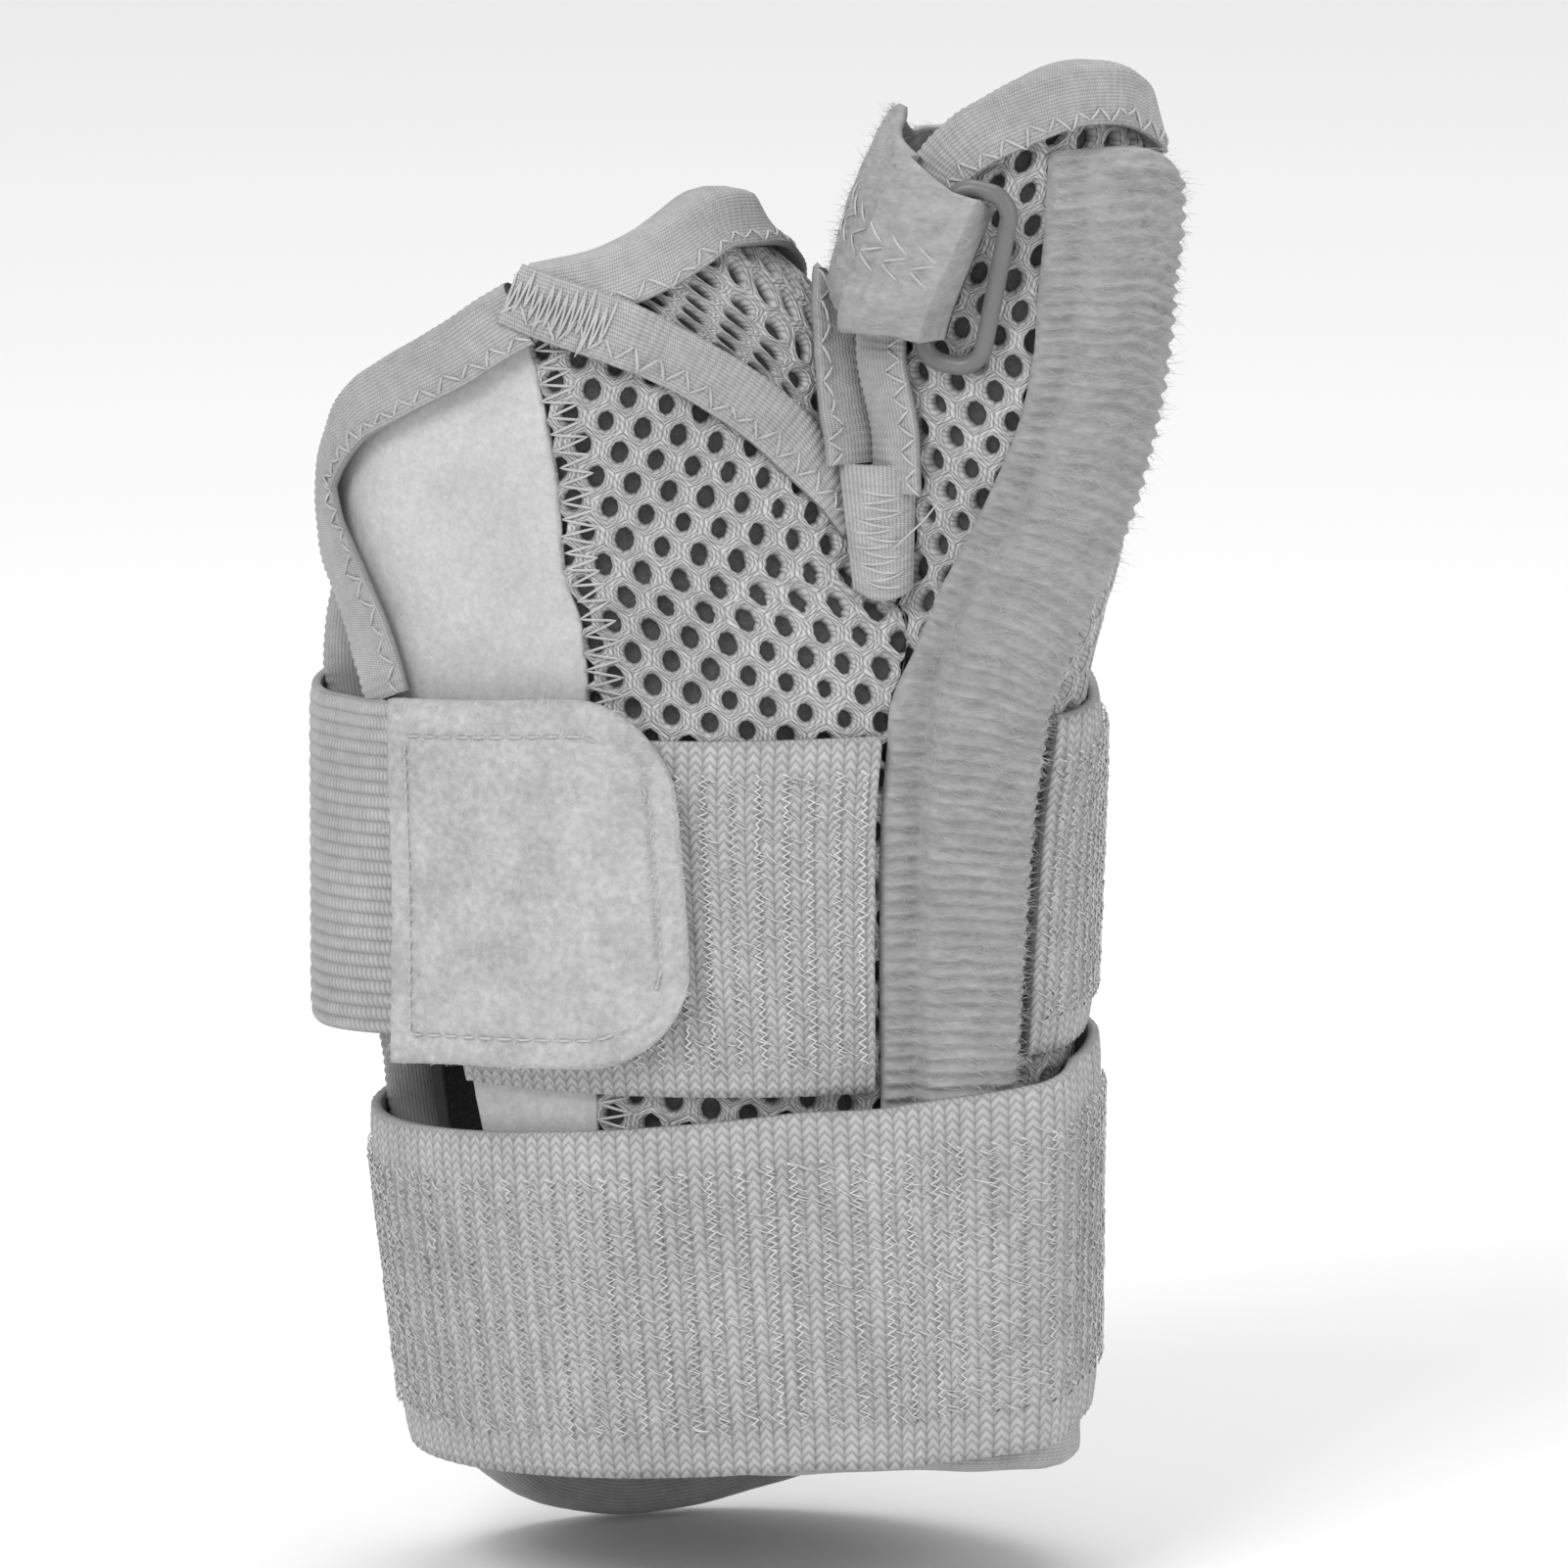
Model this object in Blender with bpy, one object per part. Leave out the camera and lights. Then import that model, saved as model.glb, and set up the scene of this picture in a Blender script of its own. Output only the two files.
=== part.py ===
"""A thumb wrist brace, held open as it is when worn.

The front of the brace looks along -Y, the thumb is on the +X side and +Z runs from the forearm
to the fingers. The origin is the middle of the forearm opening. Every soft piece lies on, or at
a stated offset from, one outer surface: the smooth union of a flattened tube round the wrist and
hand and a smaller tube round the thumb.
"""

import bpy
import numpy as np

# Sizes of the two tubes, in metres
LIMB_WIDTH = 0.093
LIMB_DEPTH = 0.062
HAND_HEIGHT = 0.166
THUMB_WIDTH = 0.038
THUMB_DEPTH = 0.034
THUMB_HEIGHT = 0.182
WEB_SOFTNESS = 0.0022

# Thicknesses and the gap left between two pieces that touch
WALL = 0.003
CLOSURE_WALL = 0.0024
TAPE = 0.0008
TAPE_WIDTH = 0.0066
TAPE_BULGE = 0.0014
INNER_SHARE = 0.75
SEAM_TAPE_WIDTH = 0.0074
SEAM_CLEARANCE = 0.0022
SIDE_CLEARANCE = 1.5
STRAP_SLACK = 16.0
ELASTIC = 0.0015
WEBBING = 0.0013
FELT = 0.0021
THUMB_STRAP_THICKNESS = 0.0019
GAP = 0.0003
BINDING_GAP = 0.0008
WEB_BINDING_GAP = 0.0016
GUSSET_BINDING_GAP = 0.0013
CORNER_BINDING_GAP = 0.0019
STAY_GAP = 0.0005
BACK_SEAM_GAP = 0.0007
STRAP_GAP = 0.0005

# Straps
WRIST_STRAP_BOTTOM = 0.0545
WRIST_STRAP_WIDTH = 0.045
BACK_STRAP_BOTTOM = 0.0576
BACK_STRAP_WIDTH = 0.0435
WEBBING_BOTTOM = 0.0578
WEBBING_WIDTH = 0.0425
WEBBING_RISE = 0.0042
WEBBING_STANDOFF = 0.0052
FOREARM_STRAP_BOTTOM = 0.0067
FOREARM_STRAP_WIDTH = 0.0450
FOREARM_STRAP_SLOPE = 0.0025
FOREARM_STRAP_FAN = 0.0022
THUMB_STRAP_WIDTH = 0.020
THUMB_STRAP_NARROWING = 0.20
TAB_BOTTOM = 0.0572
TAB_WIDTH = 0.0462
TAB_RISE = 0.0022
TAB_CORNER = 0.013

# Padded sleeve over the thumb stay
STAY_WIDTH = 0.0205
STAY_TAPER = 0.76
STAY_RISE = 0.0046
STAY_END_MARGIN = 1.28

# Plastic ring that the thumb strap folds round
RING_LENGTH = 0.0245
RING_WIDTH = 0.0101
RING_WIRE = 0.0023
RING_CORNER = 0.0032
RING_LEAN = 11.0
RING_ANGLE = -13.0
RING_CLEARANCE = 0.0015

HEM_HEIGHT = 0.0075
BACK_EDGE = 262
BACK_EDGE_CLEARANCE = 0.5
STRAP_END = 238
BAND_START = -48
FOREARM_LAP_START = 172
FOREARM_LAP = 16
TAB_ANGLES = (-58.0, -49.5)
FRONT_CROTCH = 0.1215
BACK_CROTCH = 0.120

LIMB, THUMB, LIMB_ALONE, THUMB_ALONE = 0, 1, 2, 3
SIDE_STEPS = 3
COLUMNS = ("height", "shift", "width", "forward", "depth")

# Tube round the wrist and hand. Heights are shares of HAND_HEIGHT, shift and width of LIMB_WIDTH,
# forward and depth of LIMB_DEPTH.
LIMB_SECTIONS = (
    (-0.084, 0.028, 0.822, 0.000, 0.919),
    (0.000, 0.023, 0.841, 0.000, 0.935),
    (0.151, 0.009, 0.873, 0.000, 0.952),
    (0.301, -0.005, 0.908, 0.000, 0.968),
    (0.452, -0.016, 0.953, 0.000, 1.000),
    (0.602, -0.038, 0.996, -0.008, 1.000),
    (0.675, -0.075, 0.925, -0.016, 0.935),
    (0.729, -0.128, 0.815, -0.032, 0.839),
    (0.771, -0.142, 0.776, -0.056, 0.774),
    (0.813, -0.151, 0.731, -0.081, 0.710),
    (0.880, -0.167, 0.656, -0.113, 0.613),
    (0.910, -0.183, 0.591, -0.129, 0.565),
    (0.964, -0.210, 0.462, -0.145, 0.452),
    (1.000, -0.208, 0.404, -0.161, 0.387),
    (1.040, -0.208, 0.366, -0.169, 0.355),
)

# Tube round the thumb. Heights are shares of THUMB_HEIGHT, shift of LIMB_WIDTH, width of
# THUMB_WIDTH, forward of LIMB_DEPTH and depth of THUMB_DEPTH.
THUMB_SECTIONS = (
    (-0.077, 0.280, 0.579, -0.161, 0.647),
    (0.000, 0.280, 0.632, -0.161, 0.706),
    (0.275, 0.280, 0.684, -0.177, 0.706),
    (0.440, 0.295, 0.650, -0.194, 0.765),
    (0.549, 0.318, 0.675, -0.210, 0.824),
    (0.604, 0.338, 0.715, -0.210, 0.853),
    (0.665, 0.357, 0.779, -0.194, 0.882),
    (0.742, 0.361, 0.879, -0.177, 0.941),
    (0.824, 0.349, 1.000, -0.153, 1.000),
    (0.879, 0.361, 0.958, -0.145, 0.971),
    (0.940, 0.378, 0.800, -0.129, 0.870),
    (0.978, 0.388, 0.665, -0.121, 0.780),
    (1.015, 0.392, 0.600, -0.121, 0.700),
)

# Edges. Angles are degrees round a tube from the front towards +X. Heights are shares of
# HAND_HEIGHT on the limb and of THUMB_HEIGHT on the thumb.
CLOSURE_LEFT = (
    (0.045, -31.5), (0.151, -42), (0.313, -48), (0.452, -52), (0.590, -57.5),
    (0.651, -63), (0.693, -70), (0.729, -79), (0.771, -88),
)
FRONT_SEAM = (
    (0.045, -27.7), (0.313, -22.8), (0.590, -18.5), (0.705, -14.8),
    (0.771, -13.3), (0.861, -16.5), (0.928, -20.5),
)
VALLEY = (
    (0.045, 26.5), (0.151, 26.5), (0.313, 27.3), (0.452, 27.5), (0.602, 29.5), (0.663, 37.0),
    (0.693, 41.5), (0.723, 48.0), (0.753, 52.0), (0.771, 53.5),
)
BACK_SEAM = (
    (-0.084, 132), (0.301, 135), (0.542, 131), (0.602, 124), (0.640, 113), (0.663, 105),
    (0.693, 102), (0.723, 102.5), (0.771, 105),
)
THUMB_FRONT_EDGE = ((0.665, -62), (0.703, -58.5), (0.797, -55.7), (0.850, -52), (0.935, -44))
THUMB_BACK_EDGE = ((0.659, 203), (0.703, 211), (0.747, 209), (0.797, 198), (0.852, 190), (0.935, 180))

# Top and bottom edges. The first column is the share of the way across the piece.
CLOSURE_TOP = (
    (0.00, 0.771), (0.06, 0.807), (0.16, 0.831), (0.41, 0.864), (0.61, 0.886),
    (0.81, 0.910), (1.00, 0.928),
)
FRONT_TOP = ((0.00, 0.928), (0.34, 0.898), (0.66, 0.845), (0.85, 0.790), (0.96, 0.750), (1.00, 0.732))
THUMB_BOTTOM = ((0.00, 0.045), (0.30, 0.036), (0.60, 0.025), (1.00, 0.020))
THUMB_TOP = (
    (0.00, 0.935), (0.07, 0.957), (0.14, 0.972), (0.28, 0.989), (0.43, 0.987),
    (0.55, 0.966), (0.68, 0.950), (0.85, 0.944), (1.00, 0.932),
)
BACK_TOP = (
    (0.00, 0.771), (0.16, 0.807), (0.33, 0.845), (0.43, 0.840), (0.60, 0.795), (0.78, 0.750),
    (0.90, 0.708), (0.97, 0.668), (1.00, 0.630),
)
BACK_BOTTOM = (
    (0.00, 0.020), (0.14, -0.005), (0.28, -0.031), (0.42, -0.054), (0.54, -0.064),
    (0.70, -0.053), (0.80, -0.028), (0.88, 0.004), (0.95, 0.050), (1.00, 0.110),
)

# Angles between which the gusset's lower edge is bound
WEB_EDGE = (54.5, 104.0)

# Web gusset between the hand and the thumb: angle and height share of its two long edges
GUSSET_WEB = (
    (52, 0.765), (54, 0.785), (58, 0.815), (61, 0.843), (70, 0.880), (84, 0.893), (94, 0.893),
    (101, 0.865), (104, 0.825), (105, 0.795),
)
GUSSET_UPPER = (
    (-15, 0.940), (-8, 0.943), (2, 0.948), (12, 0.955), (22, 0.963), (34, 0.975), (48, 0.986),
    (60, 0.989), (74, 0.986), (90, 0.980), (105, 0.965), (120, 0.942), (135, 0.912), (150, 0.882),
    (157, 0.862),
)

# Middle of the stay sleeve: height share of THUMB_HEIGHT and place across, share of LIMB_WIDTH
STAY_PATH = (
    (0.086, 0.284), (0.313, 0.290), (0.470, 0.302), (0.570, 0.323), (0.640, 0.368),
    (0.700, 0.424), (0.760, 0.466), (0.850, 0.498), (0.920, 0.508), (0.955, 0.508),
)

# Outline of the stay sleeve across its width: share of half the width, share of the rise
STAY_PROFILE = (
    (-1.00, 0.00), (-0.50, 0.00), (0.00, 0.00), (0.50, 0.00), (1.00, 0.00), (1.00, 0.24),
    (0.84, 0.28), (0.78, 0.72), (0.56, 0.94), (0.12, 1.00), (-0.30, 0.94), (-0.54, 0.70),
    (-0.60, 0.28), (-1.00, 0.24),
)

# How far the webbing's inner face stands off the limb, in metres, at degrees round it
WEBBING_LIFT = (
    (226, 0.0025), (238, 0.0028), (256, 0.0051), (268, WEBBING_STANDOFF), (282, WEBBING_STANDOFF),
    (294, 0.0044), (306, 0.0031), (314, 0.0026), (344, 0.0026),
)

# How far the tab's inner face stands off the limb
TAB_LIFT = ((-68.5, 0.0078), (-60, 0.0068), (-52, 0.0051), (-44, 0.0043), (-5, 0.0042))

# Height of the thumb strap's middle, as a share of THUMB_HEIGHT, at degrees round the thumb
THUMB_STRAP_COURSE = ((-200, 0.862), (-140, 0.874), (-95, 0.902), (-60, 0.884), (-14, 0.862), (-2, 0.859))

# How far the thumb strap's inner face stands off the thumb: degrees round it, metres
THUMB_STRAP_LIFT = (
    (-200, 0.0032), (-158, 0.0032), (-130, 0.0003), (-85, 0.0003), (-66, 0.0019), (-47, 0.0031),
    (-42, 0.0069), (-17, 0.0065), (-15.5, 0.0042), (-14, 0.0020), (-13, 0.0010),
)

# Places in a reversed profile of the sleeve's left and right edges
STAY_LEFT, STAY_RIGHT = len(STAY_PROFILE) - 1, len(STAY_PROFILE) - 5

COLOURS = {
    "spacer_mesh": (0.33, 0.33, 0.33),
    "velvet": (0.44, 0.44, 0.44),
    "binding": (0.40, 0.40, 0.40),
    "elastic": (0.42, 0.42, 0.42),
    "webbing": (0.42, 0.42, 0.42),
    "felt": (0.42, 0.42, 0.42),
    "plush": (0.31, 0.31, 0.31),
    "plastic": (0.20, 0.20, 0.20),
}


def clear_scene():
    for obj in list(bpy.data.objects):
        bpy.data.objects.remove(obj, do_unlink=True)


def material(slot):
    found = bpy.data.materials.get(slot)
    if found:
        return found
    made = bpy.data.materials.new(slot)
    made.use_nodes = True
    shader = made.node_tree.nodes["Principled BSDF"]
    shader.inputs["Base Color"].default_value = (*COLOURS[slot], 1.0)
    shader.inputs["Roughness"].default_value = 0.45 if slot == "plastic" else 0.9
    return made


def smooth(table, x):
    """Values of a two-column table at x, on a curve that keeps the table's rises and falls."""
    knots = np.array([row[0] for row in table], float)
    values = np.array([row[1] for row in table], float)
    steps = np.diff(values) / np.diff(knots)
    slopes = np.zeros(len(knots))
    same_way = steps[:-1] * steps[1:] > 0
    means = 2 * steps[:-1] * steps[1:] / np.where(same_way, steps[:-1] + steps[1:], 1)
    slopes[1:-1] = np.where(same_way, means, 0)
    slopes[0], slopes[-1] = steps[0], steps[-1]
    x = np.clip(np.asarray(x, float), knots[0], knots[-1])
    k = np.clip(np.searchsorted(knots, x) - 1, 0, len(knots) - 2)
    width = knots[k + 1] - knots[k]
    s = (x - knots[k]) / width
    return (
        values[k] * (1 + 2 * s) * (1 - s) ** 2
        + slopes[k] * width * s * (1 - s) ** 2
        + values[k + 1] * s**2 * (3 - 2 * s)
        + slopes[k + 1] * width * s**2 * (s - 1)
    )


def column(sections, name, heights):
    place = COLUMNS.index(name)
    return smooth([(row[0], row[place]) for row in sections], heights)


def limb_tube(z):
    """Centre and half sizes of the wrist and hand tube at height z."""
    share = np.asarray(z) / HAND_HEIGHT
    return (
        column(LIMB_SECTIONS, "shift", share) * LIMB_WIDTH,
        column(LIMB_SECTIONS, "forward", share) * LIMB_DEPTH,
        column(LIMB_SECTIONS, "width", share) * LIMB_WIDTH / 2,
        column(LIMB_SECTIONS, "depth", share) * LIMB_DEPTH / 2,
    )


def thumb_tube(z):
    """Centre and half sizes of the thumb tube at height z."""
    share = np.asarray(z) / THUMB_HEIGHT
    return (
        column(THUMB_SECTIONS, "shift", share) * LIMB_WIDTH,
        column(THUMB_SECTIONS, "forward", share) * LIMB_DEPTH,
        column(THUMB_SECTIONS, "width", share) * THUMB_WIDTH / 2,
        column(THUMB_SECTIONS, "depth", share) * THUMB_DEPTH / 2,
    )


def tube_of(own):
    return (limb_tube, thumb_tube)[own % 2]


def outside(x, y, tubes):
    """Distance outside the smooth union of the tubes, negative inside."""
    total = 0
    for cx, cy, a, b in tubes:
        reach = np.sqrt(((x - cx) / a) ** 2 + ((y - cy) / b) ** 2) - 1
        total = total + np.exp(np.clip(-reach * b / WEB_SOFTNESS, -60, 60))
    return -WEB_SOFTNESS * np.log(total)


def ray_hit(own, degrees, z):
    """The first point of the surface on a ray from a tube's centre. Limb and thumb are joined
    unless one is asked for alone."""
    tubes = (limb_tube(z), thumb_tube(z))
    cx, cy, a, b = own_tube = tubes[own % 2]
    if own in (LIMB_ALONE, THUMB_ALONE):
        tubes = (own_tube,)
    turn = np.radians(degrees)
    dx, dy = a * np.sin(turn), -b * np.cos(turn)
    long = np.hypot(dx, dy)
    dx, dy = dx / long, dy / long
    near = np.zeros_like(dx)
    far = np.full_like(dx, LIMB_WIDTH)
    found = np.zeros(dx.shape, bool)
    for r in np.linspace(0, LIMB_WIDTH, 140)[1:]:
        out = outside(cx + dx * r, cy + dy * r, tubes) >= 0
        first = out & ~found
        far = np.where(first, r, far)
        near = np.where(found | out, near, r)
        found |= out
    for _ in range(16):
        middle = (near + far) / 2
        out = outside(cx + dx * middle, cy + dy * middle, tubes) >= 0
        far = np.where(out, middle, far)
        near = np.where(out, near, middle)
    return np.stack([cx + dx * far, cy + dy * far, z], axis=-1)


def surface(own, degrees, z, lift=0.0):
    """Points at a lift off the surface that is seen from one tube's centre."""
    degrees, z = np.broadcast_arrays(np.asarray(degrees, float), np.asarray(z, float))
    point, along_angle, along_height = tangents(own, degrees, z)
    normal = np.cross(along_angle, along_height)
    normal /= np.linalg.norm(normal, axis=-1, keepdims=True)
    return point + normal * np.asarray(lift)[..., None]


def tangents(own, degrees, z):
    """A surface point and how it moves for each degree and each metre of height."""
    step_angle, step_height = 0.6, 0.0006
    point = ray_hit(own, degrees, z)
    along_angle = ray_hit(own, degrees + step_angle, z) - ray_hit(own, degrees - step_angle, z)
    along_height = ray_hit(own, degrees, z + step_height) - ray_hit(own, degrees, z - step_height)
    return point, along_angle / (2 * step_angle), along_height / (2 * step_height)


def angle_round(own, points):
    """The angle of points as seen from one tube's centre, in degrees from -90 to 270."""
    cx, cy, a, b = tube_of(own)(points[..., 2])
    angle = np.degrees(np.arctan2((points[..., 0] - cx) / a, -(points[..., 1] - cy) / b))
    return np.where(angle < -90, angle + 360, angle)


def grid(own, left, right, bottom, top, across, up, lift=0.0):
    """A patch of the surface: left and right are angles at a height, bottom and top are heights
    at a share of the way across."""
    u, v = np.meshgrid(np.linspace(0, 1, across + 1), np.linspace(0, 1, up + 1), indexing="ij")
    z = bottom(u) + (top(u) - bottom(u)) * v
    degrees = left(z) + (right(z) - left(z)) * u
    lifts = lift(degrees, z) if callable(lift) else lift
    return surface(own, degrees, z, lifts)


def beside_path(own, degrees, z, distance):
    """Angles and heights beside a path on the surface: distance has a row for each of the path's
    points, of distances to its left as seen from outside."""
    degrees, z = np.asarray(degrees, float), np.asarray(z, float)
    point, along_angle, along_height = tangents(own, degrees, z)
    forward = np.gradient(point, axis=0)[:, None, :]
    angle = np.repeat(degrees[:, None], np.shape(distance)[-1], axis=1)
    height = np.repeat(z[:, None], np.shape(distance)[-1], axis=1)
    for _ in range(SIDE_STEPS):
        point, along_angle, along_height = tangents(own, angle, height)
        normal = np.cross(along_angle, along_height)
        side = np.cross(normal, forward)
        side /= np.linalg.norm(side, axis=-1, keepdims=True)
        moves = np.stack([along_angle, along_height], axis=-1)
        per_metre = (np.linalg.pinv(moves) @ side[..., None])[..., 0]
        angle = angle + per_metre[..., 0] * distance / SIDE_STEPS
        height = height + per_metre[..., 1] * distance / SIDE_STEPS
    return angle, height


def mesh_object(name, slot, points, faces):
    mesh = bpy.data.meshes.new(name)
    mesh.from_pydata([tuple(map(float, p)) for p in points], [], faces)
    mesh.validate()
    obj = bpy.data.objects.new(name, mesh)
    bpy.context.scene.collection.objects.link(obj)
    mesh.materials.append(material(slot))
    mesh.shade_smooth()
    return obj


def sheet_object(name, slot, points, thickness, outwards=True):
    """A wall from a grid of points, thickened to its outer side or to its inner side."""
    rows, columns = points.shape[:2]
    faces = [
        (i * columns + j, (i + 1) * columns + j, (i + 1) * columns + j + 1, i * columns + j + 1)
        for i in range(rows - 1)
        for j in range(columns - 1)
    ]
    obj = mesh_object(name, slot, points.reshape(-1, 3), faces)
    wall = obj.modifiers.new("wall", "SOLIDIFY")
    wall.thickness = thickness
    wall.offset = 1.0 if outwards else -1.0
    wall.use_even_offset = True
    wall.use_quality_normals = True
    return obj


def loft_object(name, slot, loops):
    """A closed body through loops of as many points each, with flat ends."""
    stations, count = loops.shape[:2]
    faces = [tuple(range(count))[::-1]]
    for i in range(stations - 1):
        for j in range(count):
            after = (j + 1) % count
            faces.append(
                (i * count + j, i * count + after, (i + 1) * count + after, (i + 1) * count + j)
            )
    faces.append(tuple((stations - 1) * count + j for j in range(count)))
    return mesh_object(name, slot, loops.reshape(-1, 3), faces)


def height_of(table, tall):
    """A function of height from a table whose first column is a share of tall."""
    return lambda z: smooth(table, np.asarray(z) / tall)


def rise_of(table, tall):
    """A function of the share across from a table whose second column is a share of tall."""
    return lambda u: smooth(table, u) * tall


def level(height):
    return lambda u: np.full(np.shape(u), float(height))


def fixed(angle):
    return lambda z: np.full(np.shape(z), float(angle))


def valley_points(z, lift=0.0):
    """The line on the front where the limb's surface meets the thumb's."""
    return surface(0, height_of(VALLEY, HAND_HEIGHT)(z), z, lift)


def back_seam_points(z, lift=0.0):
    return surface(0, height_of(BACK_SEAM, HAND_HEIGHT)(z), z, lift)


def seam_gap(own, z, gap=GAP):
    """The degrees that a panel's share of a seam's gap takes up."""
    return np.degrees(0.7 * gap / tube_of(own)(z)[2])


def thumb_left(z):
    """The thumb panel's front edge: the valley below the crotch, its own edge above it."""
    seam = angle_round(1, valley_points(np.minimum(z, FRONT_CROTCH))) + seam_gap(1, z)
    edge = height_of(THUMB_FRONT_EDGE, THUMB_HEIGHT)(z)
    share = np.clip((z - FRONT_CROTCH) / (0.05 * THUMB_HEIGHT), 0, 1)
    return seam + (edge - seam) * share


def thumb_right(z):
    seam = angle_round(1, back_seam_points(np.minimum(z, BACK_CROTCH))) - seam_gap(1, z, BACK_SEAM_GAP)
    edge = height_of(THUMB_BACK_EDGE, THUMB_HEIGHT)(z)
    share = np.clip((z - BACK_CROTCH) / (0.05 * THUMB_HEIGHT), 0, 1)
    return seam + (edge - seam) * share


def valley_angle(z):
    return height_of(VALLEY, HAND_HEIGHT)(z) - seam_gap(0, z)


def front_seam_angle(side):
    return lambda z: height_of(FRONT_SEAM, HAND_HEIGHT)(z) + side * seam_gap(0, z)


def closure_grid():
    return grid(
        LIMB, height_of(CLOSURE_LEFT, HAND_HEIGHT), front_seam_angle(-1), level(HEM_HEIGHT),
        rise_of(CLOSURE_TOP, HAND_HEIGHT), 8, 16,
    )


def front_grid():
    return grid(
        LIMB, front_seam_angle(1), valley_angle, level(HEM_HEIGHT),
        rise_of(FRONT_TOP, HAND_HEIGHT), 10, 16,
    )


def thumb_grid():
    return grid(
        THUMB, thumb_left, thumb_right, rise_of(THUMB_BOTTOM, HAND_HEIGHT),
        rise_of(THUMB_TOP, THUMB_HEIGHT), 16, 20,
    )


def back_panel_start(z):
    return height_of(BACK_SEAM, HAND_HEIGHT)(z) + seam_gap(LIMB, z, BACK_SEAM_GAP)


def back_grid():
    return grid(
        LIMB, back_panel_start, fixed(BACK_EDGE), rise_of(BACK_BOTTOM, HAND_HEIGHT),
        rise_of(BACK_TOP, HAND_HEIGHT), 16, 14,
    )


def gusset_paths():
    """Angle and height along the gusset's lower edge, above the seam and round the web, and along
    its upper edge."""
    seam = spread(front_grid()[:, -1], 13)
    seam = np.stack([angle_round(LIMB, seam), seam[:, 2] + SEAM_CLEARANCE], axis=-1)
    lower = np.concatenate([seam[seam[:, 0] < GUSSET_WEB[0][0] - 3], trace(GUSSET_WEB, 18, HAND_HEIGHT)])
    return lower, trace(GUSSET_UPPER, len(lower), HAND_HEIGHT)


def trace(table, count, tall):
    """Angle and height at even steps along a curve through a table of angles and height shares."""
    knots = np.arange(len(table), dtype=float)
    steps = np.linspace(0, len(table) - 1, count)
    angles = smooth(list(zip(knots, [row[0] for row in table])), steps)
    heights = smooth(list(zip(knots, [row[1] for row in table])), steps) * tall
    return np.stack([angles, heights], axis=-1)


def make_panels():
    """The spacer mesh walls and the velvet closure flap."""
    sheet_object("closure_panel", "velvet", closure_grid(), CLOSURE_WALL, outwards=False)
    sheet_object("front_panel", "spacer_mesh", front_grid(), WALL, outwards=False)
    sheet_object("thumb_panel", "spacer_mesh", thumb_grid(), WALL, outwards=False)
    sheet_object("back_panel", "spacer_mesh", back_grid(), WALL, outwards=False)
    lower, upper = gusset_paths()
    share = np.linspace(0, 1, 4)
    between = lower[:, None, :] + (upper - lower)[:, None, :] * share[None, :, None]
    gusset = surface(LIMB_ALONE, between[..., 0], between[..., 1])
    obj = sheet_object("web_gusset", "spacer_mesh", gusset, WALL, outwards=False)
    obj.modifiers["wall"].use_even_offset = False


def folded_tape(wall, gap):
    """The middle of a tape folded over an edge: distance in from the edge, lift off the wall."""
    outer = gap + TAPE / 2
    inner = -wall - gap - TAPE / 2
    middle, half = (outer + inner) / 2, (outer - inner) / 2
    fold = [(-TAPE_BULGE * np.cos(a), middle + half * np.sin(a)) for a in np.radians([72, 0, -72])]
    return [(TAPE_WIDTH, outer), (TAPE_WIDTH / 2, outer), *fold, (TAPE_WIDTH * INNER_SHARE, inner)]


def spread(points, count):
    """Points at even distances along a row of points."""
    steps = np.linalg.norm(np.diff(points, axis=0), axis=-1)
    along = np.concatenate([[0], np.cumsum(steps)])
    at = np.linspace(0, along[-1], count)
    return np.stack([np.interp(at, along, points[:, k]) for k in range(3)], axis=-1)


def binding(name, own, edge, count, raised=0.0, gap=BINDING_GAP):
    """A tape folded over an edge that has the wall on its left, as seen from outside. Its outer
    side is raised where it passes over another tape."""
    path = spread(edge, count)
    distance, lifts = np.array(folded_tape(WALL, gap)).T
    lifts = lifts + np.reshape(raised, (-1, 1)) * (lifts > 0)
    distance = np.repeat(distance[None, :], count, axis=0)
    beside, above = beside_path(own, angle_round(own, path), path[:, 2], distance)
    points = surface(own, beside, above, np.broadcast_to(lifts, beside.shape))
    wall = sheet_object(name, "binding", points, TAPE).modifiers["wall"]
    wall.offset = 0.0
    wall.use_even_offset = False


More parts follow.
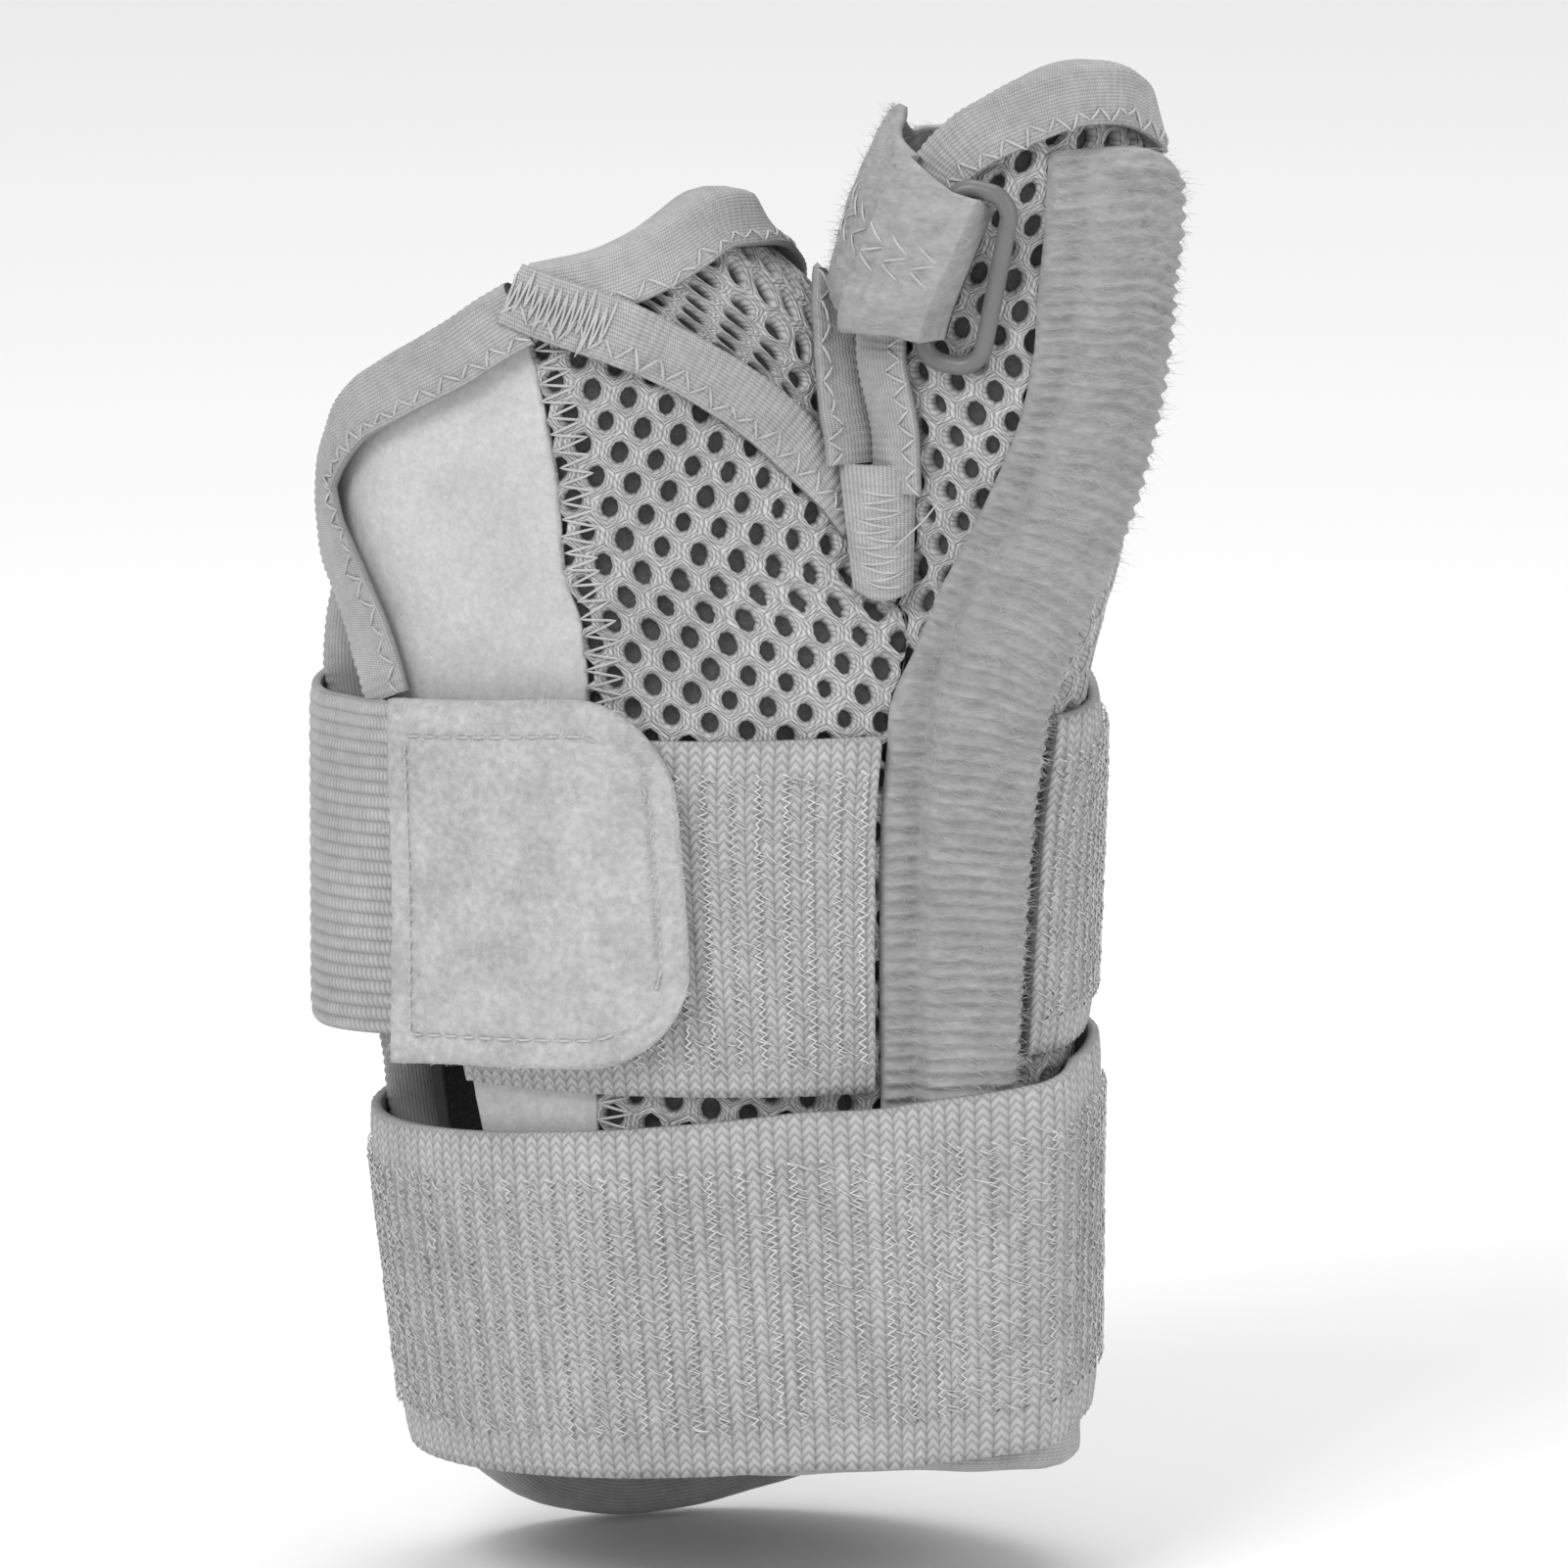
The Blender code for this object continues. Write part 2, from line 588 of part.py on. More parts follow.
def make_bindings():
    """Ribbed tapes round the raw edges, and a flat one over the seam under the web gusset."""
    closure, front, thumb, back = closure_grid(), front_grid(), thumb_grid(), back_grid()
    left = closure[0, ::-1]
    left = left[left[:, 2] > WRIST_STRAP_BOTTOM + WRIST_STRAP_WIDTH + 2 * GAP]
    edge = np.concatenate([closure[::-1, -1][1:], left[1:]])
    binding("closure_binding", LIMB, edge, 24, gap=CORNER_BINDING_GAP)
    lower, upper = gusset_paths()
    top = surface(LIMB_ALONE, upper[::-1, 0], upper[::-1, 1])
    binding("gusset_binding", LIMB_ALONE, top[2:], 24, gap=GUSSET_BINDING_GAP)
    web = lower[(lower[:, 0] > WEB_EDGE[0]) & (lower[:, 0] < WEB_EDGE[1])]
    over_seam = (TAPE + STAY_GAP) * np.clip(2 - np.arange(18) / 4, 0, 1)
    web = surface(LIMB_ALONE, web[:, 0], web[:, 1])
    binding("web_binding", LIMB_ALONE, web, 18, over_seam, WEB_BINDING_GAP)
    rear_z = np.linspace(BACK_CROTCH + TAPE_WIDTH, thumb[-1, -1, 2], 12)[:-1]
    fore_z = np.linspace(thumb[0, -1, 2], FRONT_CROTCH + 5.5 * TAPE_BULGE, 12)[1:]
    rear = surface(THUMB, thumb_right(rear_z), rear_z)
    fore = surface(THUMB, thumb_left(fore_z), fore_z)
    edge = np.concatenate([rear, thumb[::-1, -1] + (0, 0, 2 * GAP), fore])
    binding("thumb_binding", THUMB, edge, 42, gap=CORNER_BINDING_GAP)
    binding("hem_binding", LIMB, np.concatenate([closure[:, 0], front[:, 0], thumb[:, 0]]), 24)
    inner_top = back[::-1, -1]
    inner_top = inner_top[angle_round(LIMB, inner_top) > GUSSET_UPPER[-1][0] + 8]
    side_z = np.linspace(back[-1, 0, 2], back[-1, -1, 2], 40)
    side = surface(LIMB, np.full(40, BACK_EDGE + BACK_EDGE_CLEARANCE), side_z)
    binding("back_binding", LIMB, np.concatenate([back[1:-1, 0], side, inner_top[1:]]), 42)
    seam = spread(front[:, -1], 14)[:-1]
    angles = angle_round(LIMB, seam)
    rise = (TAPE + BINDING_GAP) * (1 - ease(np.clip((angles - 6) / 8, 0, 1)))
    half = SEAM_TAPE_WIDTH / 2
    upper_side = half * np.clip((13 - np.arange(13)) / 4, 0.1, 1)
    distance = -half + (half + upper_side)[:, None] * np.linspace(0, 1, 4)
    beside, above = beside_path(LIMB, angles, seam[:, 2], distance)
    lifts = np.repeat(BINDING_GAP + rise[:, None], 4, axis=1)
    sheet_object("seam_binding", "binding", surface(LIMB, beside, above, lifts), TAPE)


def stay_points():
    """Loops across the padded sleeve, from its lower end up to the thumb's top binding."""
    heights = np.linspace(STAY_PATH[0][0], STAY_PATH[-1][0], 22) * THUMB_HEIGHT
    across = height_of(STAY_PATH, THUMB_HEIGHT)(heights) * LIMB_WIDTH
    trial = np.linspace(-80, 120, 101)
    angles = []
    for z, x in zip(heights, across):
        reached = ray_hit(THUMB, trial, np.full(trial.shape, z))[:, 0]
        last = np.argmax(reached)
        angles.append(np.interp(x, reached[: last + 1], trial[: last + 1]))
    widths = STAY_WIDTH * np.linspace(STAY_TAPER, 1, len(heights))
    shares = np.array(STAY_PROFILE)
    distance = -shares[:, 0] * widths[:, None] / 2
    beside, above = beside_path(THUMB, np.array(angles), heights, distance)
    front, back = THUMB_FRONT_EDGE[-1][1], THUMB_BACK_EDGE[-1][1]
    share = np.clip((beside[-1] - front) / (back - front), 0, 1)
    limit = rise_of(THUMB_TOP, THUMB_HEIGHT)(share) - STAY_END_MARGIN * TAPE_WIDTH
    above = above[0] + (above - above[0]) * (limit - above[0]) / (above[-1] - above[0])
    lifts = STAY_GAP + shares[:, 1] * STAY_RISE
    return surface(THUMB, beside, above, np.broadcast_to(lifts, beside.shape))[:, ::-1]


def make_stay():
    loft_object("stay_sleeve", "plush", stay_points())


def stay_side(points):
    """The limb angle of one long edge of the sleeve at a height."""
    angles = angle_round(LIMB, points)
    return lambda z: np.interp(z, points[:, 2], angles)


def make_wrist_straps():
    """The elastic band on the front, the strap round the back, its webbing and its tab."""
    stay = stay_points()
    stay_left, stay_right = stay_side(stay[:, STAY_LEFT]), stay_side(stay[:, STAY_RIGHT])
    bottom, top = level(WRIST_STRAP_BOTTOM), level(WRIST_STRAP_BOTTOM + WRIST_STRAP_WIDTH)
    over_panel = STRAP_GAP
    band = grid(LIMB, fixed(BAND_START), lambda z: stay_left(z) - SIDE_CLEARANCE, bottom, top, 14, 4, over_panel)
    sheet_object("front_band", "elastic", band, ELASTIC)
    bottom, top = level(BACK_STRAP_BOTTOM), level(BACK_STRAP_BOTTOM + BACK_STRAP_WIDTH)
    start = lambda z: stay_right(z) + SIDE_CLEARANCE
    strap = grid(LIMB, start, fixed(STRAP_END), bottom, top, 24, 3, over_panel)
    sheet_object("wrist_strap", "elastic", strap, ELASTIC)
    sheet_object("strap_webbing", "webbing", webbing_grid(), WEBBING)
    sheet_object("strap_tab", "felt", tab_grid(), FELT)


def webbing_grid():
    """A band that runs straight across the open side and lies on the limb at both ends."""
    first, last = WEBBING_LIFT[0][0], WEBBING_LIFT[-1][0]
    degrees = np.linspace(first, last, 24)
    start = WEBBING_BOTTOM + WEBBING_RISE * np.clip((degrees - 270) / (last - 270), 0, 1)
    across = np.linspace(-0.5, 0.5, 3) * WEBBING_WIDTH
    middle = start + WEBBING_WIDTH / 2
    straight = np.clip(np.minimum((degrees - 240) / 20, (312 - degrees) / 24), 0, 1)
    followed = middle[:, None] + across * (1 - ease(straight))[:, None]
    turned = np.repeat(degrees[:, None], 3, axis=1)
    points = surface(LIMB, turned, followed, smooth(WEBBING_LIFT, turned))
    points[..., 2] = middle[:, None] + across
    return points


def tab_grid():
    """A patch with two round corners at its right end."""
    right = TAB_LIFT[-1][0]
    share = np.sin(np.linspace(0, np.pi / 2, 14))
    across = np.linspace(-1, 1, 7)
    left = TAB_ANGLES[0] + (TAB_ANGLES[1] - TAB_ANGLES[0]) * (across + 1) / 2
    length = np.radians(right - left.mean()) * LIMB_WIDTH / 2
    from_end = np.minimum((1 - share) * length, TAB_CORNER)
    pulled_in = TAB_CORNER - np.sqrt(TAB_CORNER**2 - (TAB_CORNER - from_end) ** 2)
    half = TAB_WIDTH / 2 - pulled_in
    middle = TAB_BOTTOM + TAB_WIDTH / 2 + TAB_RISE * share
    degrees = left + (right - left) * share[:, None]
    z = middle[:, None] + half[:, None] * across
    return surface(LIMB, degrees, z, smooth(TAB_LIFT, degrees))


def make_forearm_strap():
    """One elastic strap wound round over everything, its ends lapped at the back."""
    stay = stay_points()
    stay_left, stay_right = stay_side(stay[:, STAY_LEFT]), stay_side(stay[:, STAY_RIGHT])
    degrees = np.linspace(FOREARM_LAP_START, FOREARM_LAP_START + 360 + FOREARM_LAP, 56)
    middle = FOREARM_STRAP_BOTTOM + FOREARM_STRAP_WIDTH / 2
    from_left = (degrees - 360 - stay_left(middle)) / STRAP_SLACK
    from_right = (stay_right(middle) - degrees + 360) / STRAP_SLACK
    over_stay = np.clip(np.minimum(from_left, from_right) + 1, 0, 1)
    over_end = np.clip((degrees - FOREARM_LAP_START - 360 + 8) / 8, 0, 1)
    lift = BINDING_GAP + TAPE + GAP + over_end * (ELASTIC + GAP) + ease(over_stay) * (STAY_RISE - TAPE)
    lean = np.sin(np.radians(degrees))
    bottom = FOREARM_STRAP_BOTTOM + FOREARM_STRAP_SLOPE * lean
    width = FOREARM_STRAP_WIDTH + FOREARM_STRAP_FAN * lean
    z = bottom[:, None] + width[:, None] * np.linspace(0, 1, 3)
    turned = np.repeat(degrees[:, None], 3, axis=1)
    points = surface(LIMB, turned, z, np.repeat(lift[:, None], 3, axis=1))
    sheet_object("forearm_strap", "elastic", points, ELASTIC)


def ease(share):
    return share * share * (3 - 2 * share)


def thumb_strap_grid():
    first, last = THUMB_STRAP_LIFT[0][0], THUMB_STRAP_LIFT[-1][0]
    closer = 1 - np.linspace(1, 0, 10) ** 2
    degrees = np.concatenate([np.linspace(first, -48, 15), -43 + (last + 43) * closer])
    middle = smooth(THUMB_STRAP_COURSE, degrees) * THUMB_HEIGHT
    across = np.linspace(-0.5, 0.5, 5)
    narrower = 1 - THUMB_STRAP_NARROWING * np.clip((degrees + 45) / 20, 0, 1)
    z = middle[:, None] + across * THUMB_STRAP_WIDTH * narrower[:, None]
    lean = THUMB_STRAP_WIDTH / (THUMB_WIDTH / 2) * np.tan(np.radians(RING_LEAN))
    turned = degrees[:, None] + np.degrees(lean) * across
    lifts = np.repeat(smooth(THUMB_STRAP_LIFT, degrees)[:, None], 5, axis=1)
    return surface(THUMB_ALONE, turned, z, lifts)


def ring_path(count):
    """Points round a rounded rectangle in the plane that touches the thumb's front."""
    angle = RING_ANGLE
    z = smooth(THUMB_STRAP_COURSE, angle) * THUMB_HEIGHT
    point, along_angle, along_height = tangents(THUMB, angle, z)
    normal = np.cross(along_angle, along_height)
    normal[2] = 0
    normal /= np.linalg.norm(normal)
    lean = np.radians(RING_LEAN)
    sideways = np.cross((0, 0, 1), normal)
    upright = np.cross(normal, sideways)
    long_way = upright * np.cos(lean) + sideways * np.sin(lean)
    short_way = np.cross(long_way, normal)
    half_long = (RING_LENGTH - RING_WIRE) / 2 - RING_CORNER
    half_short = (RING_WIDTH - RING_WIRE) / 2 - RING_CORNER
    turn = np.linspace(0, 2 * np.pi, count, endpoint=False) + np.pi / count
    along = half_long * np.sign(np.sin(turn)) + RING_CORNER * np.sin(turn)
    over = half_short * np.sign(np.cos(turn)) + RING_CORNER * np.cos(turn)
    centre = point + normal * (RING_WIRE / 2 + RING_CLEARANCE)
    return centre + along[:, None] * long_way + over[:, None] * short_way


def make_ring():
    path = ring_path(28)
    curve = bpy.data.curves.new("thumb_ring", "CURVE")
    curve.dimensions = "3D"
    curve.bevel_depth = RING_WIRE / 2
    curve.bevel_resolution = 1
    spline = curve.splines.new("POLY")
    spline.points.add(len(path) - 1)
    for point, place in zip(spline.points, path):
        point.co = (*map(float, place), 1.0)
    spline.use_cyclic_u = True
    curve.materials.append(material("plastic"))
    obj = bpy.data.objects.new("thumb_ring", curve)
    bpy.context.scene.collection.objects.link(obj)


def make_thumb_strap():
    sheet_object("thumb_strap", "plush", thumb_strap_grid(), THUMB_STRAP_THICKNESS)


clear_scene()
make_panels()
make_bindings()
make_stay()
make_wrist_straps()
make_forearm_strap()
make_thumb_strap()
make_ring()
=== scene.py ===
import bpy, math
import numpy as np
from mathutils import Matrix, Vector


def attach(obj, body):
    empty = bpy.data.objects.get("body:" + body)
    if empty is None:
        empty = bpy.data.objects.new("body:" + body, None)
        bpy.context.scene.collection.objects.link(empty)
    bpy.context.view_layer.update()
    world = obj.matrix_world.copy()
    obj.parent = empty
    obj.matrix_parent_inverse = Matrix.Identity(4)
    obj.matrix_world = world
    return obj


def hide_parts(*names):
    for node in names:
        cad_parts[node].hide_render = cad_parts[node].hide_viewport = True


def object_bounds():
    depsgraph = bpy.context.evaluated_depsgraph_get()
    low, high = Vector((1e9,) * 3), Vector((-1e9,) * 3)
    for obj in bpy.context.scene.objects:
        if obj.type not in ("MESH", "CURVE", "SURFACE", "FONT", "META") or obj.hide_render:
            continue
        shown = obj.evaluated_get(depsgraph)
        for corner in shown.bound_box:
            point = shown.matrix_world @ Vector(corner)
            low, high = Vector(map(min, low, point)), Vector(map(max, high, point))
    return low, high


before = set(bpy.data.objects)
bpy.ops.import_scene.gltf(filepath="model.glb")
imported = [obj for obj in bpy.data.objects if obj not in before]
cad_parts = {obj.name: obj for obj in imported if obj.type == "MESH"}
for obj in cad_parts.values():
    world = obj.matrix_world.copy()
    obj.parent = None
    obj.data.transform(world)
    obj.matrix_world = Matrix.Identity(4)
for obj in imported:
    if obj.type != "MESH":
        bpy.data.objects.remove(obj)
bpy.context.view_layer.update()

rng = np.random.default_rng(7)

# Sizes of the wrist and thumb tubes that everything lies on, in metres
tubes = {
    "limbWidth": 0.093, "limbDepth": 0.062, "handHeight": 0.166, "thumbWidth": 0.038,
    "thumbDepth": 0.034, "thumbHeight": 0.182, "webSoftness": 0.0022, "wall": 0.003,
}
columns = ("height", "shift", "width", "forward", "depth")

limbSections = (
    (-0.084, 0.028, 0.822, 0.000, 0.919),
    (0.000, 0.023, 0.841, 0.000, 0.935),
    (0.151, 0.009, 0.873, 0.000, 0.952),
    (0.301, -0.005, 0.908, 0.000, 0.968),
    (0.452, -0.016, 0.953, 0.000, 1.000),
    (0.602, -0.038, 0.996, -0.008, 1.000),
    (0.675, -0.075, 0.925, -0.016, 0.935),
    (0.729, -0.128, 0.815, -0.032, 0.839),
    (0.771, -0.142, 0.776, -0.056, 0.774),
    (0.813, -0.151, 0.731, -0.081, 0.710),
    (0.880, -0.167, 0.656, -0.113, 0.613),
    (0.910, -0.183, 0.591, -0.129, 0.565),
    (0.964, -0.210, 0.462, -0.145, 0.452),
    (1.000, -0.208, 0.404, -0.161, 0.387),
    (1.040, -0.208, 0.366, -0.169, 0.355),
)
thumbSections = (
    (-0.077, 0.280, 0.579, -0.161, 0.647),
    (0.000, 0.280, 0.632, -0.161, 0.706),
    (0.275, 0.280, 0.684, -0.177, 0.706),
    (0.440, 0.295, 0.650, -0.194, 0.765),
    (0.549, 0.318, 0.675, -0.210, 0.824),
    (0.604, 0.338, 0.715, -0.210, 0.853),
    (0.665, 0.357, 0.779, -0.194, 0.882),
    (0.742, 0.361, 0.879, -0.177, 0.941),
    (0.824, 0.349, 1.000, -0.153, 1.000),
    (0.879, 0.361, 0.958, -0.145, 0.971),
    (0.940, 0.378, 0.800, -0.129, 0.870),
    (0.978, 0.388, 0.665, -0.121, 0.780),
    (1.015, 0.392, 0.600, -0.121, 0.700),
)
# Edges: degrees round a tube from the front towards +X against a share of the height
closureLeft = (
    (0.045, -31.5), (0.151, -42), (0.313, -48), (0.452, -52), (0.590, -57.5),
    (0.651, -63), (0.693, -70), (0.729, -79), (0.771, -88),
)
frontSeam = (
    (0.045, -27.7), (0.313, -22.8), (0.590, -18.5), (0.705, -14.8),
    (0.771, -13.3), (0.861, -16.5), (0.928, -20.5),
)
valley = (
    (0.045, 26.5), (0.151, 26.5), (0.313, 27.3), (0.452, 27.5), (0.602, 29.5), (0.663, 37.0),
    (0.693, 41.5), (0.723, 48.0), (0.753, 52.0), (0.771, 53.5),
)
backSeam = (
    (-0.084, 132), (0.301, 135), (0.542, 131), (0.602, 124), (0.640, 113), (0.663, 105),
    (0.693, 102), (0.723, 102.5), (0.771, 105),
)
thumbFrontEdge = ((0.665, -62), (0.703, -58.5), (0.797, -55.7), (0.850, -52), (0.935, -44))
thumbBackEdge = ((0.659, 203), (0.703, 211), (0.747, 209), (0.797, 198), (0.852, 190), (0.935, 180))
# Top and bottom edges: share of the way across against a share of the height
closureTop = (
    (0.00, 0.771), (0.06, 0.807), (0.16, 0.831), (0.41, 0.864), (0.61, 0.886),
    (0.81, 0.910), (1.00, 0.928),
)
frontTop = ((0.00, 0.928), (0.34, 0.898), (0.66, 0.845), (0.85, 0.790), (0.96, 0.750), (1.00, 0.732))
thumbBottom = ((0.00, 0.045), (0.30, 0.036), (0.60, 0.025), (1.00, 0.020))
thumbTop = (
    (0.00, 0.935), (0.07, 0.957), (0.14, 0.972), (0.28, 0.989), (0.43, 0.987),
    (0.55, 0.966), (0.68, 0.950), (0.85, 0.944), (1.00, 0.932),
)
backTop = (
    (0.00, 0.771), (0.16, 0.807), (0.33, 0.845), (0.43, 0.840), (0.60, 0.795), (0.78, 0.750),
    (0.90, 0.708), (0.97, 0.668), (1.00, 0.630),
)
backBottom = (
    (0.00, 0.020), (0.14, -0.005), (0.28, -0.031), (0.42, -0.054), (0.54, -0.064),
    (0.70, -0.053), (0.80, -0.028), (0.88, 0.004), (0.95, 0.050), (1.00, 0.110),
)
gussetWeb = (
    (52, 0.765), (54, 0.785), (58, 0.815), (61, 0.843), (70, 0.880), (84, 0.893), (94, 0.893),
    (101, 0.865), (104, 0.825), (105, 0.795),
)
gussetUpper = (
    (-15, 0.940), (-8, 0.943), (2, 0.948), (12, 0.955), (22, 0.963), (34, 0.975), (48, 0.986),
    (60, 0.989), (74, 0.986), (90, 0.980), (105, 0.965), (120, 0.942), (135, 0.912), (150, 0.882),
    (157, 0.862),
)
stayPath = (
    (0.086, 0.284), (0.313, 0.290), (0.470, 0.302), (0.570, 0.323), (0.640, 0.368),
    (0.700, 0.424), (0.760, 0.466), (0.850, 0.498), (0.920, 0.508), (0.955, 0.508),
)
webbingLift = (
    (226, 0.0025), (238, 0.0028), (256, 0.0051), (268, 0.0052), (282, 0.0052),
    (294, 0.0044), (306, 0.0031), (314, 0.0026), (344, 0.0026),
)
tabLift = ((-68.5, 0.0078), (-60, 0.0068), (-52, 0.0051), (-44, 0.0043), (-5, 0.0042))
thumbStrapCourse = ((-200, 0.862), (-140, 0.874), (-95, 0.902), (-60, 0.884), (-14, 0.862), (-2, 0.859))
thumbStrapLift = (
    (-200, 0.0032), (-158, 0.0032), (-130, 0.0003), (-85, 0.0003), (-66, 0.0019), (-47, 0.0031),
    (-42, 0.0069), (-17, 0.0065), (-15.5, 0.0042), (-14, 0.0020), (-13, 0.0010),
)
limb, thumb, limbAlone, thumbAlone = 0, 1, 2, 3


# A monotone cubic through a table: slopes are harmonic means of the steps on both sides
def smoothTable(table, x):
    knots = np.array([row[0] for row in table], float)
    values = np.array([row[1] for row in table], float)
    steps = np.diff(values) / np.diff(knots)
    slopes = np.zeros(len(knots))
    sameWay = steps[:-1] * steps[1:] > 0
    means = 2 * steps[:-1] * steps[1:] / np.where(sameWay, steps[:-1] + steps[1:], 1)
    slopes[1:-1] = np.where(sameWay, means, 0)
    slopes[0], slopes[-1] = steps[0], steps[-1]
    x = np.clip(np.asarray(x, float), knots[0], knots[-1])
    k = np.clip(np.searchsorted(knots, x) - 1, 0, len(knots) - 2)
    width = knots[k + 1] - knots[k]
    s = (x - knots[k]) / width
    return (values[k] * (1 + 2 * s) * (1 - s) ** 2 + slopes[k] * width * s * (1 - s) ** 2
            + values[k + 1] * s**2 * (3 - 2 * s) + slopes[k + 1] * width * s**2 * (s - 1))


def unitGrid(rows, cols):
    return np.meshgrid(np.linspace(0, 1, rows), np.linspace(0, 1, cols), indexing="ij")


# Rounded ridges, one for each whole step of x: the size of sin(pi x)
def ridges(x):
    return np.abs(np.sin(np.pi * x))


def ease(share):
    share = np.clip(share, 0, 1)
    return share * share * (3 - 2 * share)


# Centre and half sizes of a tube at height z
def tubeAt(own, z):
    sections, tall, deep, wide = (
        (limbSections, tubes["handHeight"], tubes["limbDepth"], tubes["limbWidth"]),
        (thumbSections, tubes["thumbHeight"], tubes["thumbDepth"], tubes["thumbWidth"]),
    )[own % 2]
    pick = lambda name: smoothTable([(r[0], r[columns.index(name)]) for r in sections], np.asarray(z) / tall)
    return (pick("shift") * tubes["limbWidth"], pick("forward") * tubes["limbDepth"],
            pick("width") * wide / 2, pick("depth") * deep / 2)


# Distance outside the smooth union of elliptical tubes: minus a log of the sum of exponentials
def outside(x, y, parts):
    total = 0
    for cx, cy, a, b in parts:
        reach = np.sqrt(((x - cx) / a) ** 2 + ((y - cy) / b) ** 2) - 1
        total = total + np.exp(np.clip(-reach * b / tubes["webSoftness"], -60, 60))
    return -tubes["webSoftness"] * np.log(total)


# First point of the surface on a ray from the middle of a tube: a march, then halving
def rayHit(own, degrees, z):
    parts = (tubeAt(0, z), tubeAt(1, z))
    cx, cy, a, b = ownTube = parts[own % 2]
    if own >= limbAlone:
        parts = (ownTube,)
    turn = np.radians(degrees)
    dx, dy = a * np.sin(turn), -b * np.cos(turn)
    length = np.hypot(dx, dy)
    dx, dy = dx / length, dy / length
    near, far = np.zeros_like(dx), np.full_like(dx, tubes["limbWidth"])
    found = np.zeros(dx.shape, bool)
    for r in np.linspace(0, tubes["limbWidth"], 94)[1:]:
        out = outside(cx + dx * r, cy + dy * r, parts) >= 0
        far = np.where(out & ~found, r, far)
        near = np.where(found | out, near, r)
        found |= out
    for _ in range(15):
        middle = (near + far) / 2
        out = outside(cx + dx * middle, cy + dy * middle, parts) >= 0
        far, near = np.where(out, middle, far), np.where(out, near, middle)
    return np.stack([cx + dx * far, cy + dy * far, z], axis=-1)


# One tube's surface kept as a table over angle and height, read back by blending four neighbours
class Skin:
    def __init__(self, own, low, high, first=-100.0, last=300.0):
        self.a0, self.z0 = first, low
        self.da, self.dz = 1.0, 0.0011
        angles = np.arange(first, last + 3, self.da)
        heights = np.arange(low, high + 0.004, self.dz)
        a, z = np.meshgrid(angles, heights, indexing="ij")
        self.points = rayHit(own, a, z)
        along = np.gradient(self.points, self.da, axis=0)
        rise = np.gradient(self.points, self.dz, axis=1)
        self.along, self.rise = along, rise
        normal = np.cross(along, rise)
        self.normals = normal / np.linalg.norm(normal, axis=-1, keepdims=True)

    def read(self, field, degrees, z):
        i = np.clip((degrees - self.a0) / self.da, 0, field.shape[0] - 1.001)
        j = np.clip((z - self.z0) / self.dz, 0, field.shape[1] - 1.001)
        i0, j0 = i.astype(int), j.astype(int)
        fi, fj = (i - i0)[..., None], (j - j0)[..., None]
        return ((field[i0, j0] * (1 - fi) + field[i0 + 1, j0] * fi) * (1 - fj)
                + (field[i0, j0 + 1] * (1 - fi) + field[i0 + 1, j0 + 1] * fi) * fj)

    def at(self, degrees, z, lift=0.0):
        degrees, z = np.broadcast_arrays(np.asarray(degrees, float), np.asarray(z, float))
        normal = self.read(self.normals, degrees, z)
        normal = normal / np.linalg.norm(normal, axis=-1, keepdims=True)
        return self.read(self.points, degrees, z) + normal * np.broadcast_to(lift, degrees.shape)[..., None]

    # Distance round the tube from a reference angle, at one height for each z
    def turned(self, start, z, distance):
        angles = self.a0 + self.da * np.arange(self.points.shape[0])
        j = np.clip(((z - self.z0) / self.dz).astype(int), 0, self.points.shape[1] - 1)
        steps = np.linalg.norm(np.diff(self.points, axis=0), axis=-1)
        run = np.concatenate([np.zeros((1, steps.shape[1])), np.cumsum(steps, axis=0)])
        out = np.empty_like(distance)
        for level in np.unique(j):
            here = j == level
            base = np.interp(start[here], angles, run[:, level])
            out[here] = np.interp(base + distance[here], run[:, level], angles)
        return out


print("stage: skins")
skins = {
    limb: Skin(limb, -0.016, 0.176), thumb: Skin(thumb, -0.016, 0.184),
    limbAlone: Skin(limbAlone, 0.112, 0.170), thumbAlone: Skin(thumbAlone, 0.135, 0.175, -220, 40),
}


def angleRound(own, points):
    cx, cy, a, b = tubeAt(own, points[..., 2])
    angle = np.degrees(np.arctan2((points[..., 0] - cx) / a, -(points[..., 1] - cy) / b))
    return np.where(angle < -90, angle + 360, angle)


# Angles and heights beside a path on a skin: each step walks sideways along the surface
def besidePath(own, degrees, z, distance):
    skin = skins[own]
    point = skin.at(degrees, z)
    forward = np.gradient(point, axis=0)[:, None, :]
    angle = np.repeat(np.asarray(degrees, float)[:, None], distance.shape[-1], axis=1)
    height = np.repeat(np.asarray(z, float)[:, None], distance.shape[-1], axis=1)
    for _ in range(3):
        along, rise = skin.read(skin.along, angle, height), skin.read(skin.rise, angle, height)
        side = np.cross(np.cross(along, rise), forward)
        side /= np.linalg.norm(side, axis=-1, keepdims=True)
        aa, rr, ar = (along * along).sum(-1), (rise * rise).sum(-1), (along * rise).sum(-1)
        sa, sr = (side * along).sum(-1), (side * rise).sum(-1)
        whole = aa * rr - ar * ar
        angle = angle + (sa * rr - sr * ar) / whole * distance / 3
        height = height + (sr * aa - sa * ar) / whole * distance / 3
    return angle, height


# Points at even steps along a row of points, smoothed a little first
def evenly(points, count, rounds=0):
    points = np.asarray(points, float)
    along = np.concatenate([[0], np.cumsum(np.linalg.norm(np.diff(points, axis=0), axis=-1))])
    at = np.linspace(0, along[-1], count)
    out = np.stack([np.interp(at, along, points[:, k]) for k in range(points.shape[1])], axis=-1)
    for _ in range(rounds):
        out[1:-1] = (out[:-2] + 2 * out[1:-1] + out[2:]) / 4
    return out


def pathLength(points):
    return float(np.linalg.norm(np.diff(points, axis=0), axis=-1).sum())


